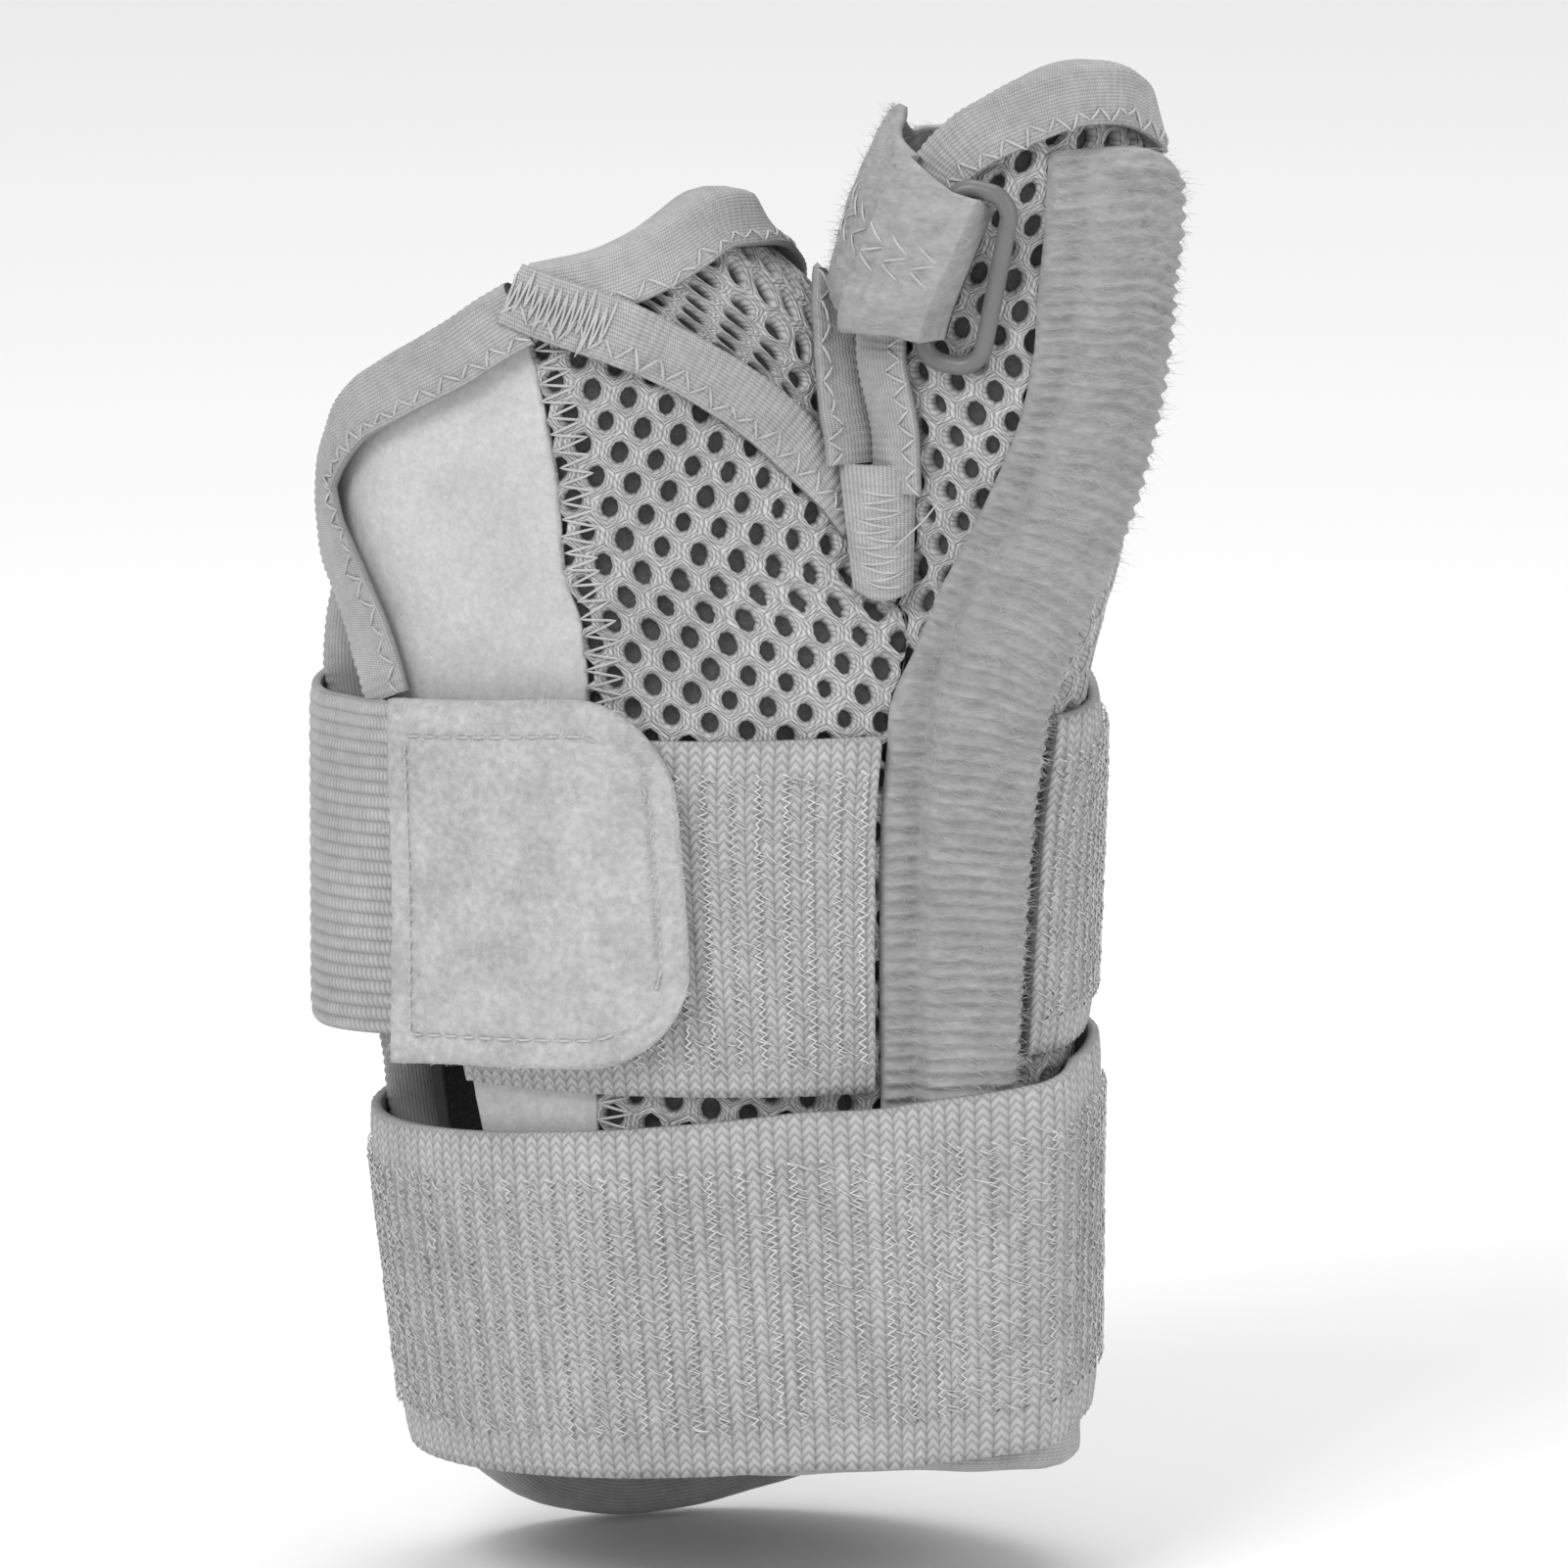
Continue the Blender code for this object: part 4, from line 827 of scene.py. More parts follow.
def gussetNet():
    middle = gussetAt(np.linspace(0, 1, 120), np.full(120, 0.5), 0.0)
    long = pathLength(middle)
    run = np.concatenate([[0], np.cumsum(np.linalg.norm(np.diff(middle, axis=0), axis=-1))])
    uOf = lambda s: np.interp(s, run, np.linspace(0, 1, 120))
    tallAt = np.linalg.norm(gussetAt(np.linspace(0, 1, 120), np.ones(120), 0.0)
                            - gussetAt(np.linspace(0, 1, 120), np.zeros(120), 0.0), axis=-1)
    spanOf = lambda s: np.interp(s, run, tallAt)

    def inside(flat):
        slack = netCell["across"] * 0.3
        high = np.abs(flat[:, 1]) < spanOf(flat[:, 0]) / 2 + slack
        return (flat[:, 0] > -slack) & (flat[:, 0] < long + slack) & high

    def place(flat, lifts):
        v = np.clip(0.5 + flat[:, 1] / spanOf(flat[:, 0]), 0, 1)
        return gussetAt(uOf(np.clip(flat[:, 0], 0, long)), v, lifts)

    return netPiece("gussetNet", place, inside, (0, -0.012), (long, 0.012))


gusset = gussetNet()
dress(gusset, "net", ["web_gusset"])
u, v = unitGrid(90, 14)
uv = np.stack([u * 0.1, v * 0.02], axis=-1)
# The gusset's sheet under its net is painted shade too
gussetHoleShade = wallPiece("gussetHoleShade", gussetAt(u, v, -0.0017), gussetAt(u, v, -0.0028), uv)
dress(gussetHoleShade, "holeShade", ["web_gusset"])

# Ribbed bindings: a folded profile carried along an edge, with a rib across it every millimetre

tape = {
    "thick": 0.0008, "width": 0.0066, "bulge": 0.0014, "innerShare": 0.75, "ribPitch": 0.00108,
    "ribHeight": 0.00020, "cut": 0.0180,
}


# The tape's closed section as (distance in from the edge, lift): outer side, fold, inner side, and back
def tapeSection(gap, steps=9):
    wall, thick, width = tubes["wall"], tape["thick"], tape["width"]
    outer, inner = gap + thick, -wall - gap - thick
    middle, half = (outer + inner) / 2, (outer - inner) / 2
    turn = np.radians(np.linspace(78, -78, 7))
    bulge = tape["bulge"] + thick / 2
    across = np.linspace(width, 0.0004, steps)
    innerWidth = width * tape["innerShare"]
    rows = [(x, outer) for x in across]
    rows += [(-bulge * math.cos(a), middle + half * math.sin(a)) for a in turn]
    rows += [(x, inner) for x in np.linspace(0.0004, innerWidth, 5)]
    rows += [(innerWidth, inner + thick), (0.001, inner + thick)]
    rows += [(0.001, outer - thick), (width, outer - thick)]
    return np.array(rows)


def bindingPiece(name, own, edge, gap, raised=None, rounds=6):
    length = pathLength(edge)
    count = int(length / tape["ribPitch"] * 4)
    path = evenly(evenly(edge, 90, rounds), count, 2)
    section = tapeSection(gap)
    run = np.linspace(0, length, count)
    rib = ridges(run / tape["ribPitch"] + 0.25 * wobble(run * 90, run * 40, 2))[:, None]
    loose = 0.00012 * wobble(run[:, None] * 300, section[None, :, 0] * 700, 5)
    across, up = section[None, :, 0], section[None, :, 1]
    rise = (tape["ribHeight"] * (rib - 0.7) + loose) * (up > 0) * (np.arange(len(section)) < 16)
    distance = across - 0.6 * rise * (across < 0) + 0.00025 * wobble(run * 160, run * 60, 9)[:, None]
    lifts = up + rise
    if raised is not None:
        more = np.interp(run / length, np.linspace(0, 1, len(raised)), raised)
        lifts = lifts + more[:, None] * (up > 0)
    angle, height = besidePath(own, angleRound(own, path), path[:, 2], np.broadcast_to(distance, lifts.shape))
    points = skins[own].at(angle, height, lifts)
    sides = len(section)
    faces = gridFaces(count, sides, True)[:, ::-1]
    caps = [list(range(sides)), [(count - 1) * sides + k for k in range(sides)][::-1]]
    around = np.cumsum(np.r_[0, np.hypot(*np.diff(section, axis=0).T)])
    uv = np.stack(np.broadcast_arrays(run[:, None], around[None]), axis=-1)
    piece = meshPiece(name, points.reshape(-1, 3), faces, uv.reshape(-1, 2), caps=caps)
    return piece, path, length


# A zigzag of thread beside a path: each stitch is an arc that dips at both ends
def zigzag(name, owner, own, path, near, far, pitch, lift, wave):
    length = pathLength(path)
    count = max(int(length / pitch) * 2, 2)
    spots = evenly(path, count + 1)
    along = np.arange(count + 1)
    side = np.where(along % 2, near, far) + rng.normal(0, wave, count + 1)
    angle, height = besidePath(own, angleRound(own, spots), spots[:, 2], side[:, None])
    t = np.linspace(0, 1, 7)
    a = angle[:-1] + (angle[1:] - angle[:-1]) * t
    z = height[:-1] + (height[1:] - height[:-1]) * t
    lift = np.atleast_1d(lift)
    lifts = np.interp(along[:-1] / count, np.linspace(0, 1, len(lift)), lift) if len(lift) > 1 else lift
    up = np.reshape(lifts, (-1, 1)) + 0.00022 * np.sin(np.pi * t) - 0.0001
    paths = skins[own].at(a, z, np.broadcast_to(up, a.shape))
    addTo(owner, dress(tubesPiece(name, paths, 0.00017), "thread"))


print("stage: bindings")
closureGrid, frontGrid, thumbGrid, backGrid = (
    patch(regions[name], 60, 60)[0] for name in ("closure", "front", "thumb", "back"))
leftSide = closureGrid[0, ::-1]
leftSide = leftSide[leftSide[:, 2] > 0.1003]
zig = {"near": 0.0045, "far": 0.0062, "pitch": 0.0033, "proud": 0.00012}


def makeBinding(name, own, edge, gap, node, rests, **more):
    piece, path, length = bindingPiece(name, own, edge, gap, **more)
    dress(piece, "tape", [node])
    lift = more.get("raised", 0.0) + gap + tape["thick"] + zig["proud"]
    zigzag(name + "Zigzag", name, own, path, zig["near"], zig["far"], zig["pitch"], lift, 0.0003)


gaps = {"plain": 0.0008, "gusset": 0.0013, "web": 0.0016, "corner": 0.0019}
closureEdgePath = np.concatenate([closureGrid[::-1, -1][1:], leftSide[1:]])
makeBinding("closureTape", limb, closureEdgePath, gaps["corner"], "closure_binding", ["closure_panel"])
gussetTop = skins[limbAlone].at(upperEdge[::-1, 0], upperEdge[::-1, 1])[16:]
makeBinding("gussetTape", limbAlone, gussetTop, gaps["gusset"], "gusset_binding", ["web_gusset"])
webEdge = lowerEdge[(lowerEdge[:, 0] > 54.5) & (lowerEdge[:, 0] < 104.0)]
overSeam = 0.0013 * np.clip(2 - np.arange(18) / 4, 0, 1)
makeBinding("webTape", limbAlone, skins[limbAlone].at(webEdge[:, 0], webEdge[:, 1]), gaps["web"],
            "web_binding", ["web_gusset"], raised=overSeam, rounds=2)
rearZ = np.linspace(seams["backCrotch"] + tape["width"], thumbGrid[-1, -1, 2], 12)[:-1]
foreZ = np.linspace(thumbGrid[0, -1, 2], seams["frontCrotch"] + 5.5 * tape["bulge"], 12)[1:]
rear, fore = skins[thumb].at(thumbRight(rearZ), rearZ), skins[thumb].at(thumbLeft(foreZ), foreZ)
thumbEdgePath = np.concatenate([rear, thumbGrid[::-1, -1] + (0, 0, 0.0006), fore])
makeBinding("thumbTape", thumb, thumbEdgePath, gaps["corner"], "thumb_binding", ["thumb_panel"])
hemEdge = np.concatenate([closureGrid[:, 0], frontGrid[:, 0], thumbGrid[:, 0]])
makeBinding("hemTape", limb, hemEdge, gaps["plain"], "hem_binding", ["front_panel", "thumb_panel"])
innerTop = backGrid[::-1, -1]
innerTop = innerTop[angleRound(limb, innerTop) > 165]
sideZ = np.linspace(backGrid[-1, 0, 2], backGrid[-1, -1, 2], 40)
backSide = skins[limb].at(np.full(40, 262.5), sideZ)
backEdgePath = np.concatenate([backGrid[1:-1, 0], backSide, innerTop[1:]])
makeBinding("backTape", limb, backEdgePath, gaps["plain"], "back_binding", ["back_panel"])

# The tape over the seam under the gusset lies flat, with both edges free
frontTopEdge = evenly(frontGrid[:, -1], 14)[:-1]
seamPath = evenly(frontTopEdge, 300, 2)
seamLength = pathLength(seamPath)
seamAngles = angleRound(limb, seamPath)
seamRun = np.linspace(0, seamLength, 300)
seamUp = 0.0037 * np.clip((13 - np.linspace(0, 12, 300)) / 4, 0.1, 1)
acrossTape = np.linspace(0, 1, 12)
seamDistance = -0.0037 + (0.0037 + seamUp)[:, None] * acrossTape
seamAngle, seamHeight = besidePath(limb, seamAngles, seamPath[:, 2], seamDistance)
seamRise = gaps["plain"] + 0.0016 * (1 - ease((seamAngles - 6) / 8))
seamRib = 0.0002 * ridges(seamRun / tape["ribPitch"])[:, None] \
    + 0.0001 * wobble(seamRun[:, None] * 400, acrossTape * 5, 4)
edgeRound = 0.0003 * (2 * np.abs(acrossTape - 0.5)) ** 4
outerSeam = skins[limb].at(seamAngle, seamHeight, seamRise[:, None] + tape["thick"] + seamRib - edgeRound)
innerSeam = skins[limb].at(seamAngle, seamHeight, np.broadcast_to(seamRise[:, None], seamAngle.shape))
seamUv = np.stack(np.broadcast_arrays(seamRun[:, None], acrossTape * 0.0074), axis=-1)
seamTape = dress(wallPiece("seamTape", outerSeam, innerSeam, seamUv), "tape", ["seam_binding"])
# A flat size can't be narrower than 10 mm, so the area says what the tape has
zigzag("seamZigzag", "seamTape", limb, seamPath, -0.0008, -0.0030, 0.0034, seamRise[::10] + 0.001, 0.0003)
zigzag("seamTack", "seamTape", limb, seamPath[:70], -0.0028, 0.0028, 0.0009,
       seamRise[:70:5] + 0.00115, 0.0008)

# Velvet closure: a flap with a soft, slightly uneven pile

print("stage: closure")
u, v = unitGrid(50, 120)
soft = 0.00010 * wobble(u * 40, v * 60, 3) + 0.00006 * wobble(u * 160, v * 260, 6)
velvetOuter = patch(regions["closure"], 50, 120, soft)[0]
velvetInner = patch(regions["closure"], 50, 120, -0.0024)[0]
velvet = wallPiece("closureVelvet", velvetOuter, velvetInner, np.stack([u * 0.03, v * 0.14], axis=-1))
dress(velvet, "velvet", ["closure_panel"])
closureEnd = patch(regions["closure"], 60, 60)[0][-1]
zigzag("closureZigzag", "closureVelvet", limb, closureEnd[::-1], 0.0002, 0.0045, 0.0021, 0.00035,
       0.0002)

# Loop elastic: a knitted base with ribbed edges, and a field of loops that lean one way


def fieldOf(u, v, edge):
    return ease((v - edge) / 0.05) * ease((1 - edge - v) / 0.05)


# at(u, v, lift) gives skin points; lengths are the strap's own
elastic = {
    "thick": 0.0015, "rib": 0.00112, "proud": 0.00085, "loopRow": 0.0024, "loopColumn": 0.0033,
    "braid": 0.0030,
}


def elasticPiece(name, node, at, count, width, edge, ends=0.0):
    thick, rib, proud = elastic["thick"], elastic["rib"], elastic["proud"]
    length = middleLength(at, count)
    across = max(int(width / 0.0014), 18)
    along = int(length / rib * 3)
    u, v = unitGrid(along, across)
    field = fieldOf(u, v, edge) * ease(u / 0.015 + 1 - ends * 2) * ease((1 - u) / 0.015 + 1 - ends * 2)
    ribs = 0.00022 * ridges(u * length / rib) * (1 - field)
    scallop = 0.0003 * ridges(u * length / 0.0027) * (np.abs(v - 0.5) > 0.46)
    bumps = 0.00020 * wobble(u * length * 1500, v * width * 1900, 4) \
        + 0.0001 * wobble(u * length * 4100, v * width * 3700, 8)
    lift = thick + ribs + field * (proud * 0.55 + bumps) - scallop * 0.5 - 0.0004 * (2 * np.abs(v - 0.5)) ** 14
    outer, inner = at(u, v, lift), at(u, v, np.zeros_like(u))
    uv = np.stack([u * length, v * width], axis=-1)
    piece = dress(wallPiece(name, outer, inner, uv), "elastic", [node])
    rows = int(width * (1 - 2 * edge) / elastic["loopRow"])
    cols = int(length / elastic["loopColumn"])
    i, j = np.meshgrid(np.arange(cols), np.arange(rows), indexing="ij")
    i, j = np.repeat(i.ravel(), 2), np.repeat(j.ravel(), 2)
    count = len(i)
    baseU = (i + 0.5 + rng.normal(0, 0.22, count)) * elastic["loopColumn"] / length
    baseV = edge + (1 - 2 * edge) * (j + 0.5 + rng.normal(0, 0.25, count)) / rows
    reach, drop = rng.normal(0.0019, 0.0004, count), rng.normal(0.0013, 0.0004, count)
    t = np.linspace(0, 1, 6)
    uu = baseU[:, None] + (t - 0.5) * reach[:, None] / length
    vv = baseV[:, None] - (t - 0.5) * drop[:, None] / width
    uu, vv = np.clip(uu, 0.002, 0.998), np.clip(vv, edge * 0.8, 1 - edge * 0.8)
    rise = thick + proud * 0.35 + np.sin(np.pi * t) * rng.uniform(0.5, 1.15, count)[:, None] * proud * 0.8
    loopSizes = rng.uniform(0.00007, 0.00013, count)
    loopPiece = tubesPiece(name + "Loops", at(uu, vv, rise), loopSizes, sides=3, taper=0.8)
    addTo(name, dress(loopPiece, "loops"))
    columns, turns = int(length / elastic["braid"]), int(width * (1 - 2 * edge) / 0.00105)
    k, t = np.meshgrid(np.arange(columns), np.linspace(0, 1, turns * 2 + 1), indexing="ij")
    sway = np.where(np.arange(turns * 2 + 1) % 2, 0.5, -0.5) * 0.00085 + rng.normal(0, 0.00012, k.shape)
    offCentre = 0.5 + 0.06 * rng.normal(0, 1, (columns, 1))
    uu = np.clip(((k + offCentre) * elastic["braid"] + sway) / length, 0.001, 0.999)
    vv = edge * 1.05 + (1 - 2.1 * edge) * t
    rise = thick + proud * (0.72 + 0.42 * np.abs(np.sin(np.pi * turns * t + 0.8)))
    rise = rise + 0.00006 * rng.normal(0, 1, k.shape)
    braidSizes = rng.uniform(0.00013, 0.00018, columns)
    braid = tubesPiece(name + "Braid", at(uu, vv, rise), braidSizes, sides=3, taper=1.0)
    addTo(name, dress(braid, "loops"))


# Edges of the stay sleeve, which the straps pass over or stop beside
stay = {"width": 0.0205, "taper": 0.76, "rise": 0.0046, "endMargin": 1.28, "gap": 0.0005}


def stayCentre(count):
    heights = np.linspace(stayPath[0][0], stayPath[-1][0], count) * tall
    across = smoothTable(stayPath, heights / tall) * tubes["limbWidth"]
    trial = np.linspace(-80, 120, 101)
    angles = []
    for z, x in zip(heights, across):
        reached = skins[thumb].at(trial, np.full(trial.shape, z))[:, 0]
        last = np.argmax(reached)
        angles.append(np.interp(x, reached[: last + 1], trial[: last + 1]))
    angles = np.array(angles)
    for _ in range(4):
        angles[1:-1] = (angles[:-2] + 2 * angles[1:-1] + angles[2:]) / 4
    return angles, heights


# The sleeve's skin at a place across (-1 to 1 of half its width) and along it
stayAngles, stayHeights = stayCentre(160)
stayWidths = stay["width"] * np.linspace(stay["taper"], 1, 160)
staySpan = np.linspace(-1.02, 1.02, 41)
stayBeside, stayAbove = besidePath(thumb, stayAngles, stayHeights, -staySpan * stayWidths[:, None] / 2)
shareAcross = np.clip((stayBeside[-1] + 44) / 224, 0, 1)
limit = smoothTable(thumbTop, shareAcross) * tall - stay["endMargin"] * tape["width"]
stayAbove = stayAbove[0] + (stayAbove - stayAbove[0]) * (limit - stayAbove[0]) / (stayAbove[-1] - stayAbove[0])


def stayAt(u, s, lift):
    i = np.clip(u * 159, 0, 158.999)
    j = np.clip((s + 1.02) / 2.04 * 40, 0, 39.999)
    i0, j0 = i.astype(int), j.astype(int)
    fi, fj = i - i0, j - j0
    read = lambda f: ((f[i0, j0] * (1 - fi) + f[i0 + 1, j0] * fi) * (1 - fj)
                      + (f[i0, j0 + 1] * (1 - fi) + f[i0 + 1, j0 + 1] * fi) * fj)
    return skins[thumb].at(read(stayBeside), read(stayAbove), lift)


stayEdges = []
for s in (-1.0, 1.0):
    line = stayAt(np.linspace(0, 1, 160), np.full(160, s), stay["gap"])
    stayEdges.append((line[:, 2], angleRound(limb, line)))
stayLeftAngle = lambda z: np.interp(z, *stayEdges[0])
stayRightAngle = lambda z: np.interp(z, *stayEdges[1])


def strapAt(own, left, right, bottom, top, base):
    def at(u, v, lift):
        z = bottom(u) + (top(u) - bottom(u)) * v
        degrees = left(z) + (right(z) - left(z)) * u
        return skins[own].at(degrees, z, base + lift)
    return at


print("stage: straps")
bandAt = strapAt(limb, fixed(-48.0), lambda z: stayLeftAngle(z) - 1.5, level(0.0545), level(0.0995), 0.0005)
elasticPiece("frontBand", "front_band", bandAt, 100, 0.045, 0.08, ends=0.5)
wristAt = strapAt(limb, lambda z: stayRightAngle(z) + 1.5, fixed(238.0), level(0.0576), level(0.1011), 0.0005)
elasticPiece("wristStrap", "wrist_strap", wristAt, 200, 0.0435, 0.10, ends=0.5)

forearm = {
    "bottom": 0.0067, "width": 0.0450, "slope": 0.0025, "fan": 0.0022, "start": 172.0, "lap": 16.0,
    "slack": 16.0,
}


def forearmAt(u, v, lift):
    degrees = forearm["start"] + (360 + forearm["lap"]) * u
    middle = forearm["bottom"] + forearm["width"] / 2
    fromLeft = (degrees - 360 - stayLeftAngle(middle)) / forearm["slack"]
    fromRight = (stayRightAngle(middle) - degrees + 360) / forearm["slack"]
    overStay = ease(np.clip(np.minimum(fromLeft, fromRight) + 1, 0, 1))
    overEnd = np.clip((degrees - forearm["start"] - 360 + 8) / 8, 0, 1)
    base = 0.0019 + overEnd * 0.0018 + overStay * 0.0038
    sideways = np.sin(np.radians(degrees))
    z = forearm["bottom"] + forearm["slope"] * sideways + (forearm["width"] + forearm["fan"] * sideways) * v
    around = np.where(degrees > 300, degrees - 360, degrees)
    return skins[limb].at(around, z, base + lift)


elasticPiece("forearmStrap", "forearm_strap", forearmAt, 400, forearm["width"], 0.12)

# Webbing: a straight band with ribs along its length

print("stage: webbing and tab")
band = {"bottom": 0.0578, "rise": 0.0042, "width": 0.0425, "thick": 0.0011, "ribs": 25.5}
firstTurn, lastTurn = webbingLift[0][0], webbingLift[-1][0]


def webbingAt(u, v, lift):
    degrees = firstTurn + (lastTurn - firstTurn) * u
    share = np.clip((degrees - 270) / (lastTurn - 270), 0, 1)
    middle = band["bottom"] + band["rise"] * share + band["width"] / 2
    across = (v - 0.5) * band["width"]
    straight = ease(np.minimum((degrees - 240) / 20, (312 - degrees) / 24))
    around = np.where(degrees > 300, degrees - 360, degrees)
    points = skins[limb].at(around, middle + across * (1 - straight), smoothTable(webbingLift, degrees) + lift)
    points[..., 2] = middle + across
    return points


webbingLength = middleLength(webbingAt, 200)
u, v = unitGrid(84, 155)
picks = np.abs(np.sin(np.pi * u * webbingLength / 0.0011 + np.floor(v * band["ribs"]) * 1.57))
ribs = 0.00032 * ridges(v * band["ribs"]) ** 0.7 + 0.00007 * picks
outerWebbing = webbingAt(u, v, band["thick"] + ribs - 0.0004 * (2 * np.abs(v - 0.5)) ** 20)
uv = np.stack([u * webbingLength, v * band["width"]], axis=-1)
webbing = wallPiece("strapWebbing", outerWebbing, webbingAt(u, v, 0 * u), uv)
dress(webbing, "webbing", ["strap_webbing"])

# Felt tab with two round corners, a sewn line inside its edge and a little loose fibre

tab = {
    "bottom": 0.0572, "width": 0.0462, "rise": 0.0022, "corner": 0.013, "left": (-58.0, -49.5), "right": -5.0,
    "long": 0.0400, "share": 0.93,
}


def tabAt(share, across, lift):
    left = tab["left"][0] + (tab["left"][1] - tab["left"][0]) * (across + 1) / 2
    length = math.radians(tab["right"] + 53.7) * tubes["limbWidth"] / 2
    fromEnd = np.minimum((1 - share) * length, tab["corner"])
    pulled = tab["corner"] - np.sqrt(tab["corner"] ** 2 - (tab["corner"] - fromEnd) ** 2)
    half = tab["width"] / 2 - pulled
    middle = tab["bottom"] + tab["width"] / 2 + tab["rise"] * share
    degrees = left + (tab["right"] - left) * share
    return skins[limb].at(degrees, middle + half * across, smoothTable(tabLift, degrees) + lift)


share, across = np.meshgrid(np.sin(np.linspace(0, math.pi / 2, 84)), np.linspace(-1, 1, 84), indexing="ij")
rim = np.clip(np.minimum(np.minimum(share, 1 - share) * 42, (1 - np.abs(across)) * 23) / 0.9, 0, 1)
toLine = np.minimum(np.minimum(share * 42, (1 - share) * 42), (1 - np.abs(across)) * 23.0)
sewn = np.exp(-((toLine - 3.8) / 0.45) ** 2)
feltLift = 0.0021 * (1 - 0.45 * (1 - rim) ** 2) + 0.00016 * wobble(share * 34, across * 24, 5) \
    + 0.00007 * wobble(share * 170, across * 140, 2) - 0.00045 * sewn
uv = np.stack([share * 0.042, across * 0.023], axis=-1)
felt = wallPiece("strapTab", tabAt(share, across, feltLift), tabAt(share, across, 0 * share), uv)
dress(felt, "felt", ["strap_tab"])
bend = np.linspace(0, math.pi / 2, 14)
lineShare = np.concatenate([
    np.linspace(0.085, 0.72, 24), 0.72 + 0.20 * np.sin(bend), np.full(20, 0.92),
    0.72 + 0.20 * np.cos(bend), np.linspace(0.72, 0.085, 24), np.full(26, 0.085)])
lineAcross = np.concatenate([
    np.full(24, 0.83), 0.83 - 0.30 * (1 - np.cos(bend)), np.linspace(0.53, -0.53, 20),
    -0.53 - 0.30 * np.sin(bend), np.full(24, -0.83), np.linspace(-0.83, 0.83, 26)])
sewnLine = evenly(np.stack([lineShare, lineAcross], axis=-1), 300, 3)
starts = np.arange(0, 296, 4)
steps = starts[:, None] + np.linspace(0.3, 3.7, 6)
stitchShare = np.interp(steps, np.arange(300), sewnLine[:, 0])
stitchAcross = np.interp(steps, np.arange(300), sewnLine[:, 1])
stitchLift = 0.0018 + 0.00025 * np.sin(np.linspace(0, np.pi, 6))
stitchPaths = tabAt(stitchShare, stitchAcross, np.broadcast_to(stitchLift, steps.shape))
stitches = tubesPiece("tabStitches", stitchPaths, 0.00016)
addTo("strapTab", dress(stitches, "thread"))


# Fibres on any surface function: roots at random places, leaning one way with some scatter
def fuzzOn(name, owner, at, count, finish, length, leanTo, outward, width=0.00006):
    a, b = rng.uniform(0, 1, (2, count))
    da, db = 0.004 * leanTo[0], 0.004 * leanTo[1]
    roots, out = at(a, b, 0.0), at(a, b, 0.001) - at(a, b, 0.0)
    out /= np.linalg.norm(out, axis=-1, keepdims=True)
    near, far = (at(np.clip(a + k * da, 0, 1), np.clip(b + k * db, 0, 1), 0.0) for k in (-1, 1))
    ahead = far - near
    ahead = ahead / (np.linalg.norm(ahead, axis=-1, keepdims=True) + 1e-9) + rng.normal(0, 0.55, (count, 3))
    piece = fibresPiece(name, roots, out * outward, ahead, length * rng.uniform(0.5, 1.3, count), width)
    addTo(owner, dress(piece, finish))


feltTop = lambda a, b, lift: tabAt(a, 2 * b - 1, 0.00195 + lift)
fuzzOn("tabFuzz", "strapTab", feltTop, 3400, "fibre", 0.0010, (1, 1), 0.35)

# Stay sleeve: a plush channel with flat sewn flanges; rows of nap run across it

print("stage: stay")
stayProfile = (  # place across, from -1 to 1, against a share of the rise
    (-1.02, -0.10), (-1.0, 0.20), (-0.96, 0.25), (-0.66, 0.26), (-0.60, 0.34), (-0.53, 0.74),
    (-0.42, 0.92), (-0.15, 1.00), (0.12, 1.01), (0.40, 0.97), (0.62, 0.90), (0.78, 0.70),
    (0.84, 0.34), (0.90, 0.27), (1.00, 0.22), (1.02, -0.10),
)


def stayOuter(u, s, lift=0.0):
    long = 150  # its length in millimetres, as the end's 2.2 and the rows' 1.75
    end = np.clip(np.minimum(u, 1 - u) * long / 2.2, 0, 1)
    high = smoothTable(stayProfile, s) * stay["rise"] * (1 - 0.8 * (1 - end) ** 3)
    nap = 0.00034 * np.sin(u * 2 * np.pi * long / 1.75 + 0.6 * wobble(s * 3, u * 20, 3))
    nap = nap + 0.00012 * wobble(u * 110, s * 6, 7)
    return stayAt(u, s, stay["gap"] + np.maximum(high + nap * (np.abs(s) < 0.98), 0.0) + lift)


u, s = np.meshgrid(np.linspace(0, 1, 520), np.linspace(1.02, -1.02, 37), indexing="ij")
uv = np.stack([u * 0.15, s * 0.01], axis=-1)
sleeve = wallPiece("staySleeve", stayOuter(u, s), stayAt(u, s, stay["gap"] + 0 * u), uv)
dress(sleeve, "plush", ["stay_sleeve"])
bpy.context.view_layer.update()
stayTop = lambda a, b, lift: stayOuter(a, 2 * b - 1, lift - 0.0001)
fuzzOn("stayFuzz", "staySleeve", stayTop, 10000, "plushFibre", 0.0015, (0, 1), 0.45, width=0.00007)

# Thumb strap: a plush band over the ring's left bar and down into its slot

firstStrap, lastStrap = thumbStrapLift[0][0], thumbStrapLift[-1][0]
strapLean = math.degrees(0.020 / 0.019 * math.tan(math.radians(11.0)))


def thumbStrapAt(u, v, lift):
    degrees = firstStrap + (lastStrap - firstStrap) * u
    narrower = 1 - 0.20 * np.clip((degrees + 45) / 20, 0, 1)
    z = smoothTable(thumbStrapCourse, degrees) * tall + (v - 0.5) * 0.020 * narrower
    return skins[thumbAlone].at(degrees + strapLean * (v - 0.5), z, smoothTable(thumbStrapLift, degrees) + lift)


